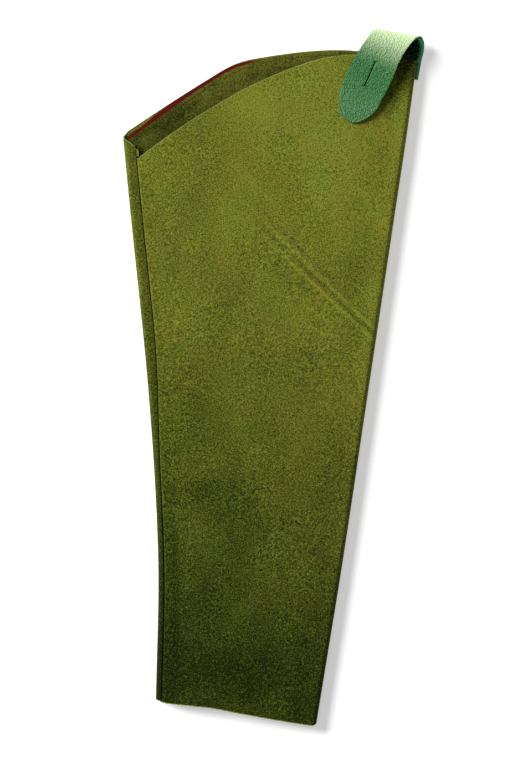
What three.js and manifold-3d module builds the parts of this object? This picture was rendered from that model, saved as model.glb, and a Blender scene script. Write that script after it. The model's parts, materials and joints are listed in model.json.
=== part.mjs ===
// One leg of a pair of split-leather saw chaps, lying flat as it comes off a hook.
// The near side is one layer of leather. The far side, which faces the saw, is a
// sandwich of leather, four cut-protection layers and a leather lining. A thick belt
// tab is riveted under the hip corner, curls over the edge and rests on the near side.
// X runs from the inseam to the outseam, Y from the hem to the hip, Z up. Millimetres.

import * as THREE from "three";
import { mergeVertices } from "three/addons/utils/BufferGeometryUtils.js";
import Module from "manifold-3d";

const wasm = await Module();
wasm.setup();

// ---------------------------------------------------------------- driving sizes

const CLEARANCE = 0.3; // between any two pieces that touch on the real leg

const legLength = 878.8; // lowest point of the hem to the waist
const widths = { hem: 213.5, calf: 240.5, knee: 283.4, thigh: 348.4, crotch: 369, waist: 394 };
const middles = { hem: -15.8, calf: 0.7, knee: 10.4, thigh: 16.9, crotch: 19.2, waist: 22 };
const heights = { hem: 0.036, calf: 0.246, knee: 0.482, thigh: 0.778, crotch: 0.873, waist: 1 };

const farRise = 109.2; // the far side's top edge climbs this much from inseam to waist
const nearTop = 872.3 / 878.8; // the near side stops a little short of the waist
const nearRise = 134; // the near side's top edge climbs this much from the seam
const hemRise = 35; // the hem is cut higher at the inseam than at its lowest point

const shellThickness = 1.4;
const foldHalfHeight = 7.5; // the flattened tube's folds, to the middle of the leather
const foldDepth = 5.2;
const crownRise = 3; // the near side stands this much above its folds

const seamInsetTop = 15.6; // the inseam lies on the near side, this far from the fold
const seamInsetLow = 8.2;
const seamFoldRadius = 1.4; // the near side's edge, turned under
const seamAllowance = 7;
const stripBendRadius = 0.9; // where the far side's strip dives into the seam

const layerThickness = 0.8;
const layerCount = 4;
const padSideInset = 9;
const padTopInset = 4.5;
const padHemInset = 14;
const liningThickness = 1.0;
const liningStepBack = 4; // how much of the layers' cut edge shows at the inseam end
const lapWidth = 16;
const lapRamp = 6;
const lapSlope = -43.7 * (Math.PI / 180);
const lapDrop = 237; // the lap crosses the middle of the leg this far below the waist
const lapThreadSpacing = 11;

const threadDiameter = 0.8;
const padThreadInset = 5;

const tabThickness = 3;
const tabWidth = 53.2;
const tabOverlap = 27.5; // length of the tab under the hip corner
const tabOutside = 5; // the tab stands this far outside the outseam fold
const tabLean = 0.1345781; // radians, as the outseam fold leans at the hip
const tabRamp = 18; // the leather beside the tab climbs onto it over this length
const tabSlitLength = 36;
const tabSlitWidth = 1.2;

const rivetShank = 2;
const rivetHead = 4.5;
const rivetHeadThickness = 0.9;
const rivetPeen = 3.2;
const burrThickness = 1;
const rivetAcross = [18, 41]; // from the tab's outer edge
const rivetAlong = [7, 20]; // from the tab's lower end

// ---------------------------------------------------------------- materials

function finish(color, roughness, metalness = 0) {
  return new THREE.MeshStandardMaterial({ color, roughness, metalness });
}
const oliveSuede = finish(0x6f7330, 0.95);
const paleSplit = finish(0x7f8a45, 0.95);
const redCloth = finish(0x7c1f1c, 0.9);
const jadeLeather = finish(0x4f9163, 0.8);
const oliveThread = finish(0x8a8f4c, 0.7);
const plainSteel = finish(0xb8b8b4, 0.4, 1);

// ---------------------------------------------------------------- curves of the pattern

/** A smooth function through the given [x, y] points, level beyond both ends. */
function smoothThrough(points) {
  const last = points.length - 1;
  const slopes = points.map((_, i) => {
    const [x0, y0] = points[Math.max(i - 1, 0)];
    const [x1, y1] = points[Math.min(i + 1, last)];
    return (y1 - y0) / (x1 - x0);
  });
  return (x) => {
    if (x <= points[0][0]) return points[0][1] + slopes[0] * (x - points[0][0]);
    if (x >= points[last][0]) return points[last][1] + slopes[last] * (x - points[last][0]);
    const i = points.findIndex((point) => point[0] > x) - 1;
    const span = points[i + 1][0] - points[i][0];
    const t = (x - points[i][0]) / span;
    const [t2, t3] = [t * t, t * t * t];
    return (
      points[i][1] * (2 * t3 - 3 * t2 + 1) +
      slopes[i] * span * (t3 - 2 * t2 + t) +
      points[i + 1][1] * (3 * t2 - 2 * t3) +
      slopes[i + 1] * span * (t3 - t2)
    );
  };
}

const levels = Object.keys(widths);
const flatWidth = smoothThrough(levels.map((k) => [heights[k] * legLength, widths[k]]));
const middleLine = smoothThrough(levels.map((k) => [heights[k] * legLength, middles[k]]));
const inseamFold = (y) => middleLine(y) - flatWidth(y) / 2;
const outseamFold = (y) => middleLine(y) + flatWidth(y) / 2;

/** Share of the flat width at which x lies: 0 at the inseam fold, 1 at the outseam fold. */
const shareAt = (x, y) => (x - inseamFold(y)) / flatWidth(y);

const farTopCurve = smoothThrough([
  [0, 0], [0.122, 0.265], [0.291, 0.632], [0.398, 0.846], [0.504, 0.93], [0.661, 1], [0.792, 1], [1, 0.895],
]);
const nearTopCurve = smoothThrough([
  [0.046, 0], [0.245, 0.369], [0.455, 0.709], [0.656, 0.942], [0.79, 1], [1, 0.93],
]);
const hemCurve = smoothThrough([[0, 1], [0.06, 0.85], [0.34, 0.67], [0.54, 0.44], [0.92, 0], [1, 0.23]]);

const farTopEdge = (share) => legLength - farRise * (1 - farTopCurve(share));
const nearTopEdge = (share) => legLength * nearTop - nearRise * (1 - nearTopCurve(share));
const hemEdge = (share) => hemRise * hemCurve(share);

const seamInset = (y) => {
  const t = THREE.MathUtils.smoothstep(y / legLength, 0.36, 0.6);
  return THREE.MathUtils.lerp(seamInsetLow, seamInsetTop, t);
};

// ---------------------------------------------------------------- solids

function toSolid(geometry) {
  const bare = geometry.clone();
  bare.deleteAttribute("normal");
  bare.deleteAttribute("uv");
  const merged = mergeVertices(bare, 1e-4);
  return new wasm.Manifold(
    new wasm.Mesh({
      numProp: 3,
      vertProperties: new Float32Array(merged.attributes.position.array),
      triVerts: new Uint32Array(merged.index.array),
    })
  );
}

function toGeometry(solid) {
  const { numProp, vertProperties, triVerts } = solid.getMesh();
  const positions = [];
  for (let i = 0; i < vertProperties.length; i += numProp) {
    positions.push(vertProperties[i], vertProperties[i + 1], vertProperties[i + 2]);
  }
  const geometry = new THREE.BufferGeometry();
  geometry.setAttribute("position", new THREE.Float32BufferAttribute(positions, 3));
  geometry.setIndex(Array.from(triVerts));
  return geometry;
}

/**
 * A closed sheet of even thickness around a grid of points, grid[row][column], or around
 * the rows from first to last alone.
 */
function sheetSolid(grid, thickness, first = 0, last = grid.length - 1) {
  const rows = last - first + 1;
  const columns = grid[0].length;
  const normalAt = (i, j) => {
    const across = new THREE.Vector3().subVectors(
      grid[i][Math.min(j + 1, columns - 1)],
      grid[i][Math.max(j - 1, 0)]
    );
    const along = new THREE.Vector3().subVectors(
      grid[Math.min(i + 1, grid.length - 1)][j],
      grid[Math.max(i - 1, 0)][j]
    );
    return across.cross(along).normalize();
  };
  const positions = [];
  for (const side of [0.5, -0.5]) {
    for (let i = 0; i < rows; i++) {
      for (let j = 0; j < columns; j++) {
        const row = first + i;
        const point = grid[row][j].clone().addScaledVector(normalAt(row, j), side * thickness);
        positions.push(...point.toArray());
      }
    }
  }
  const index = [];
  const front = (i, j) => i * columns + j;
  const back = (i, j) => rows * columns + front(i, j);
  const quad = (a, b, c, d) => index.push(a, b, c, a, c, d);
  for (let i = 0; i < rows - 1; i++) {
    for (let j = 0; j < columns - 1; j++) {
      quad(front(i, j), front(i, j + 1), front(i + 1, j + 1), front(i + 1, j));
      quad(back(i, j), back(i + 1, j), back(i + 1, j + 1), back(i, j + 1));
    }
    const end = columns - 1;
    quad(front(i, 0), front(i + 1, 0), back(i + 1, 0), back(i, 0));
    quad(front(i, end), back(i, end), back(i + 1, end), front(i + 1, end));
  }
  for (let j = 0; j < columns - 1; j++) {
    const end = rows - 1;
    quad(front(0, j), back(0, j), back(0, j + 1), front(0, j + 1));
    quad(front(end, j), front(end, j + 1), back(end, j + 1), back(end, j));
  }
  const geometry = new THREE.BufferGeometry();
  geometry.setAttribute("position", new THREE.Float32BufferAttribute(positions, 3));
  geometry.setIndex(index);
  return geometry;
}

/** The flat slab over an outline of [x, y] points, from one height to another. */
function slab(outline, bottom, top) {
  const shape = new THREE.Shape(outline.map(([x, y]) => new THREE.Vector2(x, y)));
  const geometry = new THREE.ExtrudeGeometry(shape, { depth: top - bottom, bevelEnabled: false });
  geometry.translate(0, 0, bottom);
  return geometry;
}

/** A path through exactly the given points, for a thread that lies on a surface. */
class ThreadPath extends THREE.Curve {
  constructor(points) {
    super();
    this.points = points;
  }
  getPoint(t) {
    const place = THREE.MathUtils.clamp(t, 0, 1) * (this.points.length - 1);
    const i = Math.min(Math.floor(place), this.points.length - 2);
    return new THREE.Vector3().lerpVectors(this.points[i], this.points[i + 1], place - i);
  }
  getPointAt(t) {
    return this.getPoint(t);
  }
  getTangentAt(t) {
    return this.getTangent(t);
  }
}

function thread(points) {
  const section = new THREE.Shape().absarc(0, 0, threadDiameter / 2, 0, Math.PI * 2);
  const path = new ThreadPath(points);
  return new THREE.ExtrudeGeometry(section, {
    steps: points.length - 1,
    curveSegments: 3,
    extrudePath: path,
    bevelEnabled: false,
  });
}

// ---------------------------------------------------------------- outer shell

const halfShell = shellThickness / 2;
const foldTop = halfShell + 2 * foldHalfHeight; // middle of the leather above the folds
const foldMiddle = halfShell + foldHalfHeight;
const seamCentre = foldTop - stripBendRadius;
const nearEdgeHeight = seamCentre + seamFoldRadius;
const seamFoldOffset = seamFoldRadius + halfShell; // the turned edge's centre from the groove
const stripRadius = seamFoldRadius + shellThickness + CLEARANCE + 0.1;
const foldInset = halfShell + foldDepth; // a fold's centre from its outer face
const nearCrown = (s) => {
  const rise = THREE.MathUtils.smoothstep(s, 0, 0.2) * (1 - THREE.MathUtils.smoothstep(s, 0.8, 1));
  return THREE.MathUtils.lerp(nearEdgeHeight, foldTop, s) + crownRise * rise;
};
const nearFaceHeight = foldTop + crownRise + halfShell + 0.4;

const seamGroove = (y) => inseamFold(y) + seamInset(y);
const tabLift = tabThickness + CLEARANCE;
const liftMargin = 3;
const tabRampEnd = tabOverlap + liftMargin + tabRamp;
// the strap lies along a fold that leans by tabLean, and needs more room beside another
const hipCorner = farTopEdge(1);
const foldLean = Math.atan((outseamFold(hipCorner) - outseamFold(hipCorner - tabRampEnd)) / tabRampEnd);
const leanRoom = tabOverlap * Math.abs(Math.tan(foldLean - tabLean));
const liftedFromRight = tabWidth - tabOutside + liftMargin + leanRoom;

/** A column of the shell: where it is at a height, and the edges that it runs between. */
function column(x, z, top, bottom, lift = 0) {
  return { x, z, top, bottom, lift };
}

function heightOnEdge(edge, x, start) {
  let y = start;
  for (let i = 0; i < 12; i++) y = edge(shareAt(x(y), y));
  return y;
}

function shellColumns() {
  const columns = [];
  const seamTop = heightOnEdge(nearTopEdge, seamGroove, legLength);
  const farCorner = farTopEdge(0);
  const add = (x, z, edge, lift = 0) => {
    const top = typeof edge === "number" ? edge : heightOnEdge(edge, x, legLength);
    columns.push(column(x, z, top, heightOnEdge(hemEdge, x, 0), lift));
  };
  const polar = (centre, height, rx, rz, degrees) => {
    const angle = THREE.MathUtils.degToRad(degrees);
    return [(y) => centre(y) + rx * Math.cos(angle), height + rz * Math.sin(angle)];
  };
  const seamFold = (y) => seamGroove(y) + seamFoldOffset;
  const outerFold = (y) => outseamFold(y) - foldInset;
  const innerFold = (y) => inseamFold(y) + foldInset;

  // near side: the edge turned under, then the panel to the outseam fold
  add((y) => seamFold(y) + seamAllowance, seamCentre - seamFoldRadius, seamTop);
  for (const degrees of [270, 225, 180, 135, 90]) {
    add(...polar(seamFold, seamCentre, seamFoldRadius, seamFoldRadius, degrees), seamTop);
  }
  for (const s of [0.05, 0.1, 0.15, 0.2, 0.31, 0.42, 0.53, 0.64, 0.72, 0.8, 0.85, 0.9, 0.95]) {
    add((y) => THREE.MathUtils.lerp(seamFold(y), outerFold(y), s), nearCrown(s), nearTopEdge);
  }
  // the outseam fold, where the near top edge runs into the far one
  const cornerNear = nearTopEdge(1);
  const cornerFar = farTopEdge(1);
  for (const degrees of [90, 60, 30, 0, -30, -60, -90]) {
    const top = THREE.MathUtils.lerp(cornerNear, cornerFar, (90 - degrees) / 180);
    add(...polar(outerFold, foldMiddle, foldDepth, foldHalfHeight, degrees), top, 1);
  }
  // far side, from the outseam fold to the inseam fold
  for (const [fromFold, lift] of [[22, 1], [36, 1], [liftedFromRight, 1], [liftedFromRight + tabRamp, 0]]) {
    add((y) => outseamFold(y) - fromFold, halfShell, farTopEdge, lift);
  }
  const rampFoot = (y) => outseamFold(y) - liftedFromRight - tabRamp;
  for (const s of [0.15, 0.3, 0.45, 0.6, 0.72, 0.84, 0.93, 1]) {
    add((y) => THREE.MathUtils.lerp(rampFoot(y), innerFold(y), s), halfShell, farTopEdge);
  }
  for (const degrees of [240, 210, 180, 150, 120, 90]) {
    add(...polar(innerFold, foldMiddle, foldDepth, foldHalfHeight, degrees), farCorner);
  }
  // the strip that wraps onto the near side, and its edge inside the seam
  const stripBend = (y) => seamGroove(y) - (stripRadius - seamFoldOffset) - stripBendRadius;
  for (const degrees of [90, 45, 0]) {
    const top = THREE.MathUtils.lerp(farCorner, seamTop, 0.7 + 0.1 * (1 - degrees / 90));
    add(...polar(stripBend, foldTop - stripBendRadius, stripBendRadius, stripBendRadius, degrees), top);
  }
  for (const degrees of [210, 240, 270]) {
    add(...polar(seamFold, seamCentre, stripRadius, stripRadius, degrees), seamTop);
  }
  add((y) => seamFold(y) + seamAllowance, seamCentre - stripRadius, seamTop);
  return columns;
}

function outerShell(rivets) {
  const columns = shellColumns();
  const longRows = 14;
  // distances below the top edge
  const topRows = [tabRampEnd, tabOverlap + liftMargin, tabOverlap / 2, 0];
  const grid = [];
  const heightsOf = (c) => {
    const rampFoot = c.top - topRows[0];
    const list = [];
    for (let k = 0; k < longRows; k++) list.push(THREE.MathUtils.lerp(c.bottom, rampFoot, k / longRows));
    return [...list, ...topRows.map((below) => c.top - below)];
  };
  const rowCount = longRows + topRows.length;
  for (let i = 0; i < rowCount; i++) {
    const lifted = i > longRows ? tabLift : 0;
    grid.push(
      columns.map((c) => {
        const y = heightsOf(c)[i];
        const lowered = THREE.MathUtils.clamp((foldTop - c.z) / (foldTop - halfShell), 0, 1);
        return new THREE.Vector3(c.x(y), y, c.z + c.lift * lifted * lowered);
      })
    );
  }
  let solid = toSolid(sheetSolid(grid, shellThickness));
  for (const { position } of rivets) {
    const hole = new THREE.CylinderGeometry(rivetShank + CLEARANCE, rivetShank + CLEARANCE, 8, 12);
    hole.rotateX(Math.PI / 2).translate(position.x, position.y, tabLift + halfShell);
    solid = solid.subtract(toSolid(hole));
  }
  return toGeometry(solid);
}

// ---------------------------------------------------------------- cut-protection pad

const padNotchWidth = liftedFromRight + tabRamp + 4;
const padNotchDepth = tabRampEnd + 4;

/** The pad's outline inside the far side, with a notch that clears the belt tab's rivets. */
function padOutline(topInset, sideInset = padSideInset, hemInset = padHemInset) {
  const left = (y) => inseamFold(y) + sideInset;
  const right = (y) => outseamFold(y) - sideInset;
  const between = (s) => (y) => THREE.MathUtils.lerp(left(y), right(y), s);
  const onTop = (x, inset) => {
    const y = heightOnEdge(farTopEdge, x, legLength) - inset;
    return [x(y), y];
  };
  const outline = [];
  for (const s of [0, 0.15, 0.3, 0.45, 0.6, 0.75, 0.9, 1]) {
    const y = heightOnEdge(hemEdge, between(s), 0) + hemInset;
    outline.push([between(s)(y), y]);
  }
  const notchSide = (y) => outseamFold(y) - padNotchWidth;
  const notchFloor = onTop(notchSide, padNotchDepth)[1];
  for (const s of [0.2, 0.4, 0.6, 0.8, 1]) {
    const y = THREE.MathUtils.lerp(outline[7][1], notchFloor - 8, s);
    outline.push([right(y), y]);
  }
  outline.push([notchSide(notchFloor), notchFloor]);
  for (const s of [0.98, 0.88, 0.76, 0.62, 0.5, 0.4, 0.3, 0.2, 0.1, 0]) {
    const x = (y) => THREE.MathUtils.lerp(left(y), notchSide(y), s);
    outline.push(onTop(x, topInset(s)));
  }
  const start = outline[0];
  const end = outline.at(-1);
  for (const s of [0.17, 0.34, 0.51, 0.68, 0.84]) {
    const y = THREE.MathUtils.lerp(end[1], start[1], s);
    outline.push([left(y), y]);
  }
  return outline;
}

const layerBase = shellThickness + CLEARANCE;
const layerPitch = layerThickness + CLEARANCE;
const liningBase = layerBase + layerCount * layerPitch;
const liningTop = liningBase + liningThickness;
const lapLift = liningThickness + CLEARANCE;
const layerInset = () => padTopInset;
const liningInset = (s) => padTopInset + liningStepBack * (1 - THREE.MathUtils.smoothstep(s, 0.3, 0.6));

const lapAlong = new THREE.Vector3(Math.cos(lapSlope), Math.sin(lapSlope), 0);
const lapUp = new THREE.Vector3(-Math.sin(lapSlope), Math.cos(lapSlope), 0);
const lapOrigin = new THREE.Vector3(middleLine(legLength), legLength - lapDrop, 0);
const lapPoint = (along, up, z) =>
  lapOrigin.clone().addScaledVector(lapAlong, along).addScaledVector(lapUp, up).setZ(z);
const aboveLap = (x, y) => new THREE.Vector3(x, y, 0).sub(lapOrigin).dot(lapUp);

function protectionLayer(number) {
  const bottom = layerBase + (number - 1) * layerPitch;
  return slab(padOutline(layerInset), bottom, bottom + layerThickness);
}

/** The whole lining's outline as a tall slab, to trim either half of the lining with. */
function liningBlank() {
  return toSolid(slab(padOutline(liningInset), 0, foldTop));
}

function liningLower() {
  const reach = 2 * legLength;
  const sheet = slab(
    [[-reach, -reach], [reach, -reach], [reach, lapWidth / 2], [-reach, lapWidth / 2]],
    liningBase,
    liningTop
  );
  sheet.rotateZ(lapSlope).translate(lapOrigin.x, lapOrigin.y, 0);
  return toGeometry(liningBlank().intersect(toSolid(sheet)));
}

function liningUpper() {
  const reach = 2 * legLength;
  const middle = liningBase + liningThickness / 2;
  const lapEnd = lapWidth / 2 + 1;
  const rows = [[-lapWidth / 2, lapLift], [lapEnd, lapLift], [lapEnd + lapRamp, 0], [reach, 0]];
  const grid = rows.map(([up, lift]) => [-reach, reach].map((along) => lapPoint(along, up, middle + lift)));
  return toGeometry(liningBlank().intersect(toSolid(sheetSolid(grid, liningThickness))));
}

// ---------------------------------------------------------------- threads

const threadSeat = CLEARANCE + threadDiameter / 2;

function inseamThread() {
  const x = (y) => seamGroove(y) + seamFoldOffset + seamAllowance / 2;
  const top = heightOnEdge(nearTopEdge, seamGroove, legLength) - 4;
  const bottom = heightOnEdge(hemEdge, x, 0) + 4;
  const points = [];
  for (let i = 0; i <= 18; i++) {
    const y = THREE.MathUtils.lerp(bottom, top, i / 18);
    points.push(new THREE.Vector3(x(y), y, seamCentre));
  }
  return thread(points);
}

/** Height at which a thread lies on the lining, over the lap where it crosses it. */
function threadHeight(x, y) {
  const up = aboveLap(x, y);
  const onLap = up > -lapWidth / 2 - 3 && up < lapWidth / 2 + 3;
  const pastLap = THREE.MathUtils.clamp((up - lapWidth / 2 - 3) / lapRamp, 0, 1);
  const lift = up > lapWidth / 2 ? 1 - pastLap : onLap ? 1 : 0;
  return liningTop + lapLift * lift + threadSeat;
}

/**
 * A thread laid on the lining along [x, y] points, a little inside its edge. It stops short
 * of both ends, where the next thread starts, and has close points only where its height
 * changes.
 */
function liningThread(line, closeness) {
  const points = [];
  for (let i = 0; i < line.length - 1; i++) {
    const [a, b] = [line[i], line[i + 1]];
    const steps = Math.max(2, Math.round(Math.hypot(b[0] - a[0], b[1] - a[1]) / 3));
    for (let k = 0; k < steps; k++) {
      const x = THREE.MathUtils.lerp(a[0], b[0], k / steps);
      const y = THREE.MathUtils.lerp(a[1], b[1], k / steps);
      points.push(new THREE.Vector3(x, y, threadHeight(x, y)));
    }
  }
  const run = points.slice(2, -1);
  const end = run.length - 1;
  const level = (i) => run[THREE.MathUtils.clamp(i, 0, end)].z;
  const kept = (point, i) =>
    i % closeness === 0 || i === end || level(i - 1) !== point.z || level(i + 1) !== point.z;
  return thread(run.filter(kept));
}

const threadOutline = padOutline(
  (s) => liningInset(s) + padThreadInset,
  padSideInset + padThreadInset,
  padHemInset + padThreadInset
);

/** One of the two rows that hold the lining's lap, from side to side of the lining. */
function lapThread(up) {
  const inside = (along) => {
    const { x, y } = lapPoint(along, up, 0);
    const share = shareAt(x, y);
    const fromTop = farTopEdge(share) - y;
    const edge = padSideInset + padThreadInset + 6;
    return x > inseamFold(y) + edge && x < outseamFold(y) - edge && fromTop > 26;
  };
  const run = [];
  for (let along = -legLength; along < legLength; along += 4) if (inside(along)) run.push(along);
  const z = liningTop + lapLift + threadSeat;
  const ends = [run[0], run.at(-1)];
  return thread([0, 0.5, 1].map((s) => lapPoint(THREE.MathUtils.lerp(...ends, s), up, z)));
}

// ---------------------------------------------------------------- belt tab

const tabCorner = new THREE.Vector2(outseamFold(hipCorner), hipCorner);
const tabLow = tabThickness / 2;
const tabHigh = nearFaceHeight + tabThickness / 2;

// Rows of the strap from its riveted end to its tip: inner edge x, y, outer edge x, y, all
// from the hip corner, and height as a share of the way from the floor to the near side.
const tabRows = [
  [-53.0, -20.1, -0.4, -27.9, 0],
  [-51.0, -6.4, 1.7, -14.2, 0],
  [-49.0, 7.4, 3.8, -0.4, 0],
  [-49.0, 20.5, 6.4, 11.5, 0.1],
  [-50.4, 31.0, 6.9, 21.3, 0.38],
  [-54.4, 36.4, 3.6, 26.9, 0.76],
  [-59.0, 34.0, -3.0, 24.3, 1.16],
  [-66.0, 25.5, -11.3, 15.8, 1.33],
  [-78.8, 6.0, -23.8, -4.7, 1.3],
  [-91.5, -18.9, -34.2, -30.7, 1.2],
  [-100.4, -43.8, -45.9, -52.7, 1.1],
  [-101.8, -58.7, -51.8, -64.2, 1.05],
  [-99.4, -69.7, -58.8, -72.7, 1.02],
  [-91.9, -79.2, -69.3, -79.9, 1],
  [-84.9, -83.2, -77.9, -83.2, 1],
];
const splitRow = 5; // the strap bends here, so the model splits it at this row
const splitGap = 0.03; // in rows
const baseSteps = 12;
const flapSteps = 20;
const innerEdge = tabRows.map(([x, y, , , level]) => tabPoint(x, y, level));
const outerEdge = tabRows.map(([, , x, y, level]) => tabPoint(x, y, level));

function tabPoint(x, y, level) {
  const z = THREE.MathUtils.lerp(tabLow, tabHigh, level);
  return new THREE.Vector3(tabCorner.x + x, tabCorner.y + y, z);
}

/** The whole strap's grid, with a narrow gap in its rows at the split. */
function tabGrid() {
  const inner = new THREE.CatmullRomCurve3(innerEdge);
  const outer = new THREE.CatmullRomCurve3(outerEdge);
  const end = tabRows.length - 1;
  // a close row on each side of the split, so that both cut faces lie square to the strap
  const beside = 3 * splitGap;
  const places = [];
  for (let i = 0; i < baseSteps; i++) places.push(((splitRow - beside) * i) / (baseSteps - 1));
  places.push(splitRow - splitGap, splitRow + splitGap);
  for (let i = 0; i < flapSteps; i++) {
    places.push(THREE.MathUtils.lerp(splitRow + beside, end, i / (flapSteps - 1)));
  }
  return places.map((place) => {
    const [a, b] = [inner.getPoint(place / end), outer.getPoint(place / end)];
    for (const point of [a, b]) point.z = Math.max(point.z, tabLow);
    return [0, 0.25, 0.5, 0.75, 1].map((s) => new THREE.Vector3().lerpVectors(a, b, s));
  });
}

/** A turned profile of [radius, height] points, standing up at a rivet's place. */
function turned(profile, place) {
  const points = profile.map(([radius, height]) => new THREE.Vector2(radius, height));
  const geometry = new THREE.LatheGeometry(points, 12);
  return geometry.rotateX(Math.PI / 2).translate(place.x, place.y, 0);
}

const rivetPlaces = [];
const baseEnd = [innerEdge[0], outerEdge[0]];
const baseAlong = new THREE.Vector3().subVectors(outerEdge[1], outerEdge[0]).normalize();
for (const along of rivetAlong) {
  for (const across of rivetAcross) {
    const position = new THREE.Vector3()
      .lerpVectors(baseEnd[1], baseEnd[0], across / tabWidth)
      .addScaledVector(baseAlong, along);
    rivetPlaces.push({ position });
  }
}
const shellOnTab = tabLift + shellThickness; // upper face of the leather over the tab
const burrTop = shellOnTab + CLEARANCE + burrThickness;

function rivet({ position }) {
  const headTop = 0.1 + rivetHeadThickness;
  const peen = burrTop + CLEARANCE;
  return turned(
    [
      [0, 0.1], [rivetHead, 0.1], [rivetHead, headTop], [rivetShank, headTop],
      [rivetShank, peen], [rivetPeen, peen], [rivetPeen * 0.7, peen + 0.8], [0, peen + 0.8],
    ],
    position
  );
}

function burr({ position }) {
  const low = shellOnTab + CLEARANCE;
  const bore = rivetShank + CLEARANCE;
  const ring = [[bore, low], [rivetHead, low], [rivetHead, burrTop], [bore, burrTop], [bore, low]];
  return turned(ring, position);
}

function beltTabBase() {
  let solid = toSolid(sheetSolid(tabGrid(), tabThickness, 0, baseSteps));
  for (const { position } of rivetPlaces) {
    const pocket = 0.1 + rivetHeadThickness + CLEARANCE;
    const bore = rivetShank + CLEARANCE;
    const head = rivetHead + CLEARANCE;
    const cut = turned([[0, -1], [head, -1], [head, pocket], [bore, pocket], [bore, 4], [0, 4]], position);
    solid = solid.subtract(toSolid(cut));
  }
  return toGeometry(solid);
}

function beltTabFlap() {
  const slit = new THREE.BoxGeometry(tabSlitWidth, tabSlitLength, 60);
  const slitCentre = tabPoint(-62.4, -20, 1);
  slit.rotateZ(THREE.MathUtils.degToRad(-24.6)).translate(slitCentre.x, slitCentre.y, slitCentre.z + 15);
  const sheet = toSolid(sheetSolid(tabGrid(), tabThickness, baseSteps + 1));
  return toGeometry(sheet.subtract(toSolid(slit)));
}

// ---------------------------------------------------------------- the leg

const leg = new THREE.Group();
const body = new THREE.Group();
leg.add(body);

function addPiece(name, geometry, material) {
  const mesh = new THREE.Mesh(geometry, material);
  mesh.name = name;
  body.add(mesh);
}

addPiece("outer_shell", outerShell(rivetPlaces), oliveSuede);
for (let i = 1; i <= layerCount; i++) addPiece(`protection_layer_${i}`, protectionLayer(i), redCloth);
addPiece("lining_lower", liningLower(), paleSplit);
addPiece("lining_upper", liningUpper(), paleSplit);

addPiece("inseam_thread", inseamThread(), oliveThread);
addPiece("lap_thread_upper", lapThread(lapThreadSpacing / 2), oliveThread);
addPiece("lap_thread_lower", lapThread(-lapThreadSpacing / 2), oliveThread);
const [hemEnd, notchFoot, notchTop, inseamTop] = [7, 12, 14, 23]; // corners of the outline
addPiece("pad_thread_hem", liningThread(threadOutline.slice(0, hemEnd + 1), 20), oliveThread);
addPiece("pad_thread_outseam", liningThread(threadOutline.slice(hemEnd, notchFoot + 1), 20), oliveThread);
addPiece("pad_thread_top", liningThread(threadOutline.slice(notchTop, inseamTop + 1), 8), oliveThread);
const inseamLine = [...threadOutline.slice(inseamTop), threadOutline[0]];
addPiece("pad_thread_inseam", liningThread(inseamLine, 20), oliveThread);

addPiece("belt_tab_base", beltTabBase(), jadeLeather);
addPiece("belt_tab_flap", beltTabFlap(), jadeLeather);
rivetPlaces.forEach((place, i) => {
  addPiece(`tab_rivet_${i + 1}`, rivet(place), plainSteel);
  addPiece(`tab_burr_${i + 1}`, burr(place), plainSteel);
});

// The origin is on the floor, under the middle of the whole leg.
const bounds = new THREE.Box3().setFromObject(body);
const centre = bounds.getCenter(new THREE.Vector3());
body.position.set(-centre.x, -centre.y, -bounds.min.z);

export default leg;
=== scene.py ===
"""One leg of split-leather saw chaps, lying flat: leather, padding, stitches and belt tab.

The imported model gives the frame. Every visible piece is modelled here around it, in metres,
with X from the inseam to the outseam, Y from the hem to the hip and Z up.
"""

import json
import math

import bmesh
import bpy
from bpy.props import FloatProperty, FloatVectorProperty, IntProperty, PointerProperty
from bpy.types import Operator, Panel, PropertyGroup
from mathutils import Matrix, Vector, noise


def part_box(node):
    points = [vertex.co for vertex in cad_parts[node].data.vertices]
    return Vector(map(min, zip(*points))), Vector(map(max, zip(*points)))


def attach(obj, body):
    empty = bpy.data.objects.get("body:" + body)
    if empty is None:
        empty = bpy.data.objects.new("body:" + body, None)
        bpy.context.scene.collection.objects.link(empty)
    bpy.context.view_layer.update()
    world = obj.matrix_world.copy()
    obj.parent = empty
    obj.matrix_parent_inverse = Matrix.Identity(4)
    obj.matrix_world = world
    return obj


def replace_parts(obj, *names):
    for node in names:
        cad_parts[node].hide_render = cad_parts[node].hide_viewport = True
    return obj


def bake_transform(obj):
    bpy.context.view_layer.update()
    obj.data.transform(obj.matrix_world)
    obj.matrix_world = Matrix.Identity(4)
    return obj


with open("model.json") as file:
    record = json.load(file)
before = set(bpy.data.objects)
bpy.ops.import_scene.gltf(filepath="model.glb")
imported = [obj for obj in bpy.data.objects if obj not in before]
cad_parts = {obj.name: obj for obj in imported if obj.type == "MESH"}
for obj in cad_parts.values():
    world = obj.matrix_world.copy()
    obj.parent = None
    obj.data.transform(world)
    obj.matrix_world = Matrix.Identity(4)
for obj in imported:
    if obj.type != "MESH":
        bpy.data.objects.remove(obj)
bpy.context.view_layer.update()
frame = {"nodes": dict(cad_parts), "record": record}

bl_info = {
    "name": "Chainsaw Chap Leg",
    "version": (1, 0, 0),
    "blender": (4, 5, 0),
    "location": "3D View > Sidebar > Chap Leg",
    "description": "Builds one leather chap leg with its padding, stitches and belt tab",
    "category": "Add Mesh",
}

SHELL_LOW, SHELL_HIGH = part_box("outer_shell")
LINING_LOW, LINING_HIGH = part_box("lining_lower")
JOINT = frame["record"]["behaviour"]["joints"][0]
MM = 0.001

LEG = "leg"
LAYER_NODES = sorted(name for name in frame["nodes"] if name.startswith("protection_layer"))
RIVET_NODES = sorted(name for name in frame["nodes"] if name.startswith("tab_rivet"))
BURR_NODES = sorted(name for name in frame["nodes"] if name.startswith("tab_burr"))


# ---------------------------------------------------------------- sizes and colours


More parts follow.
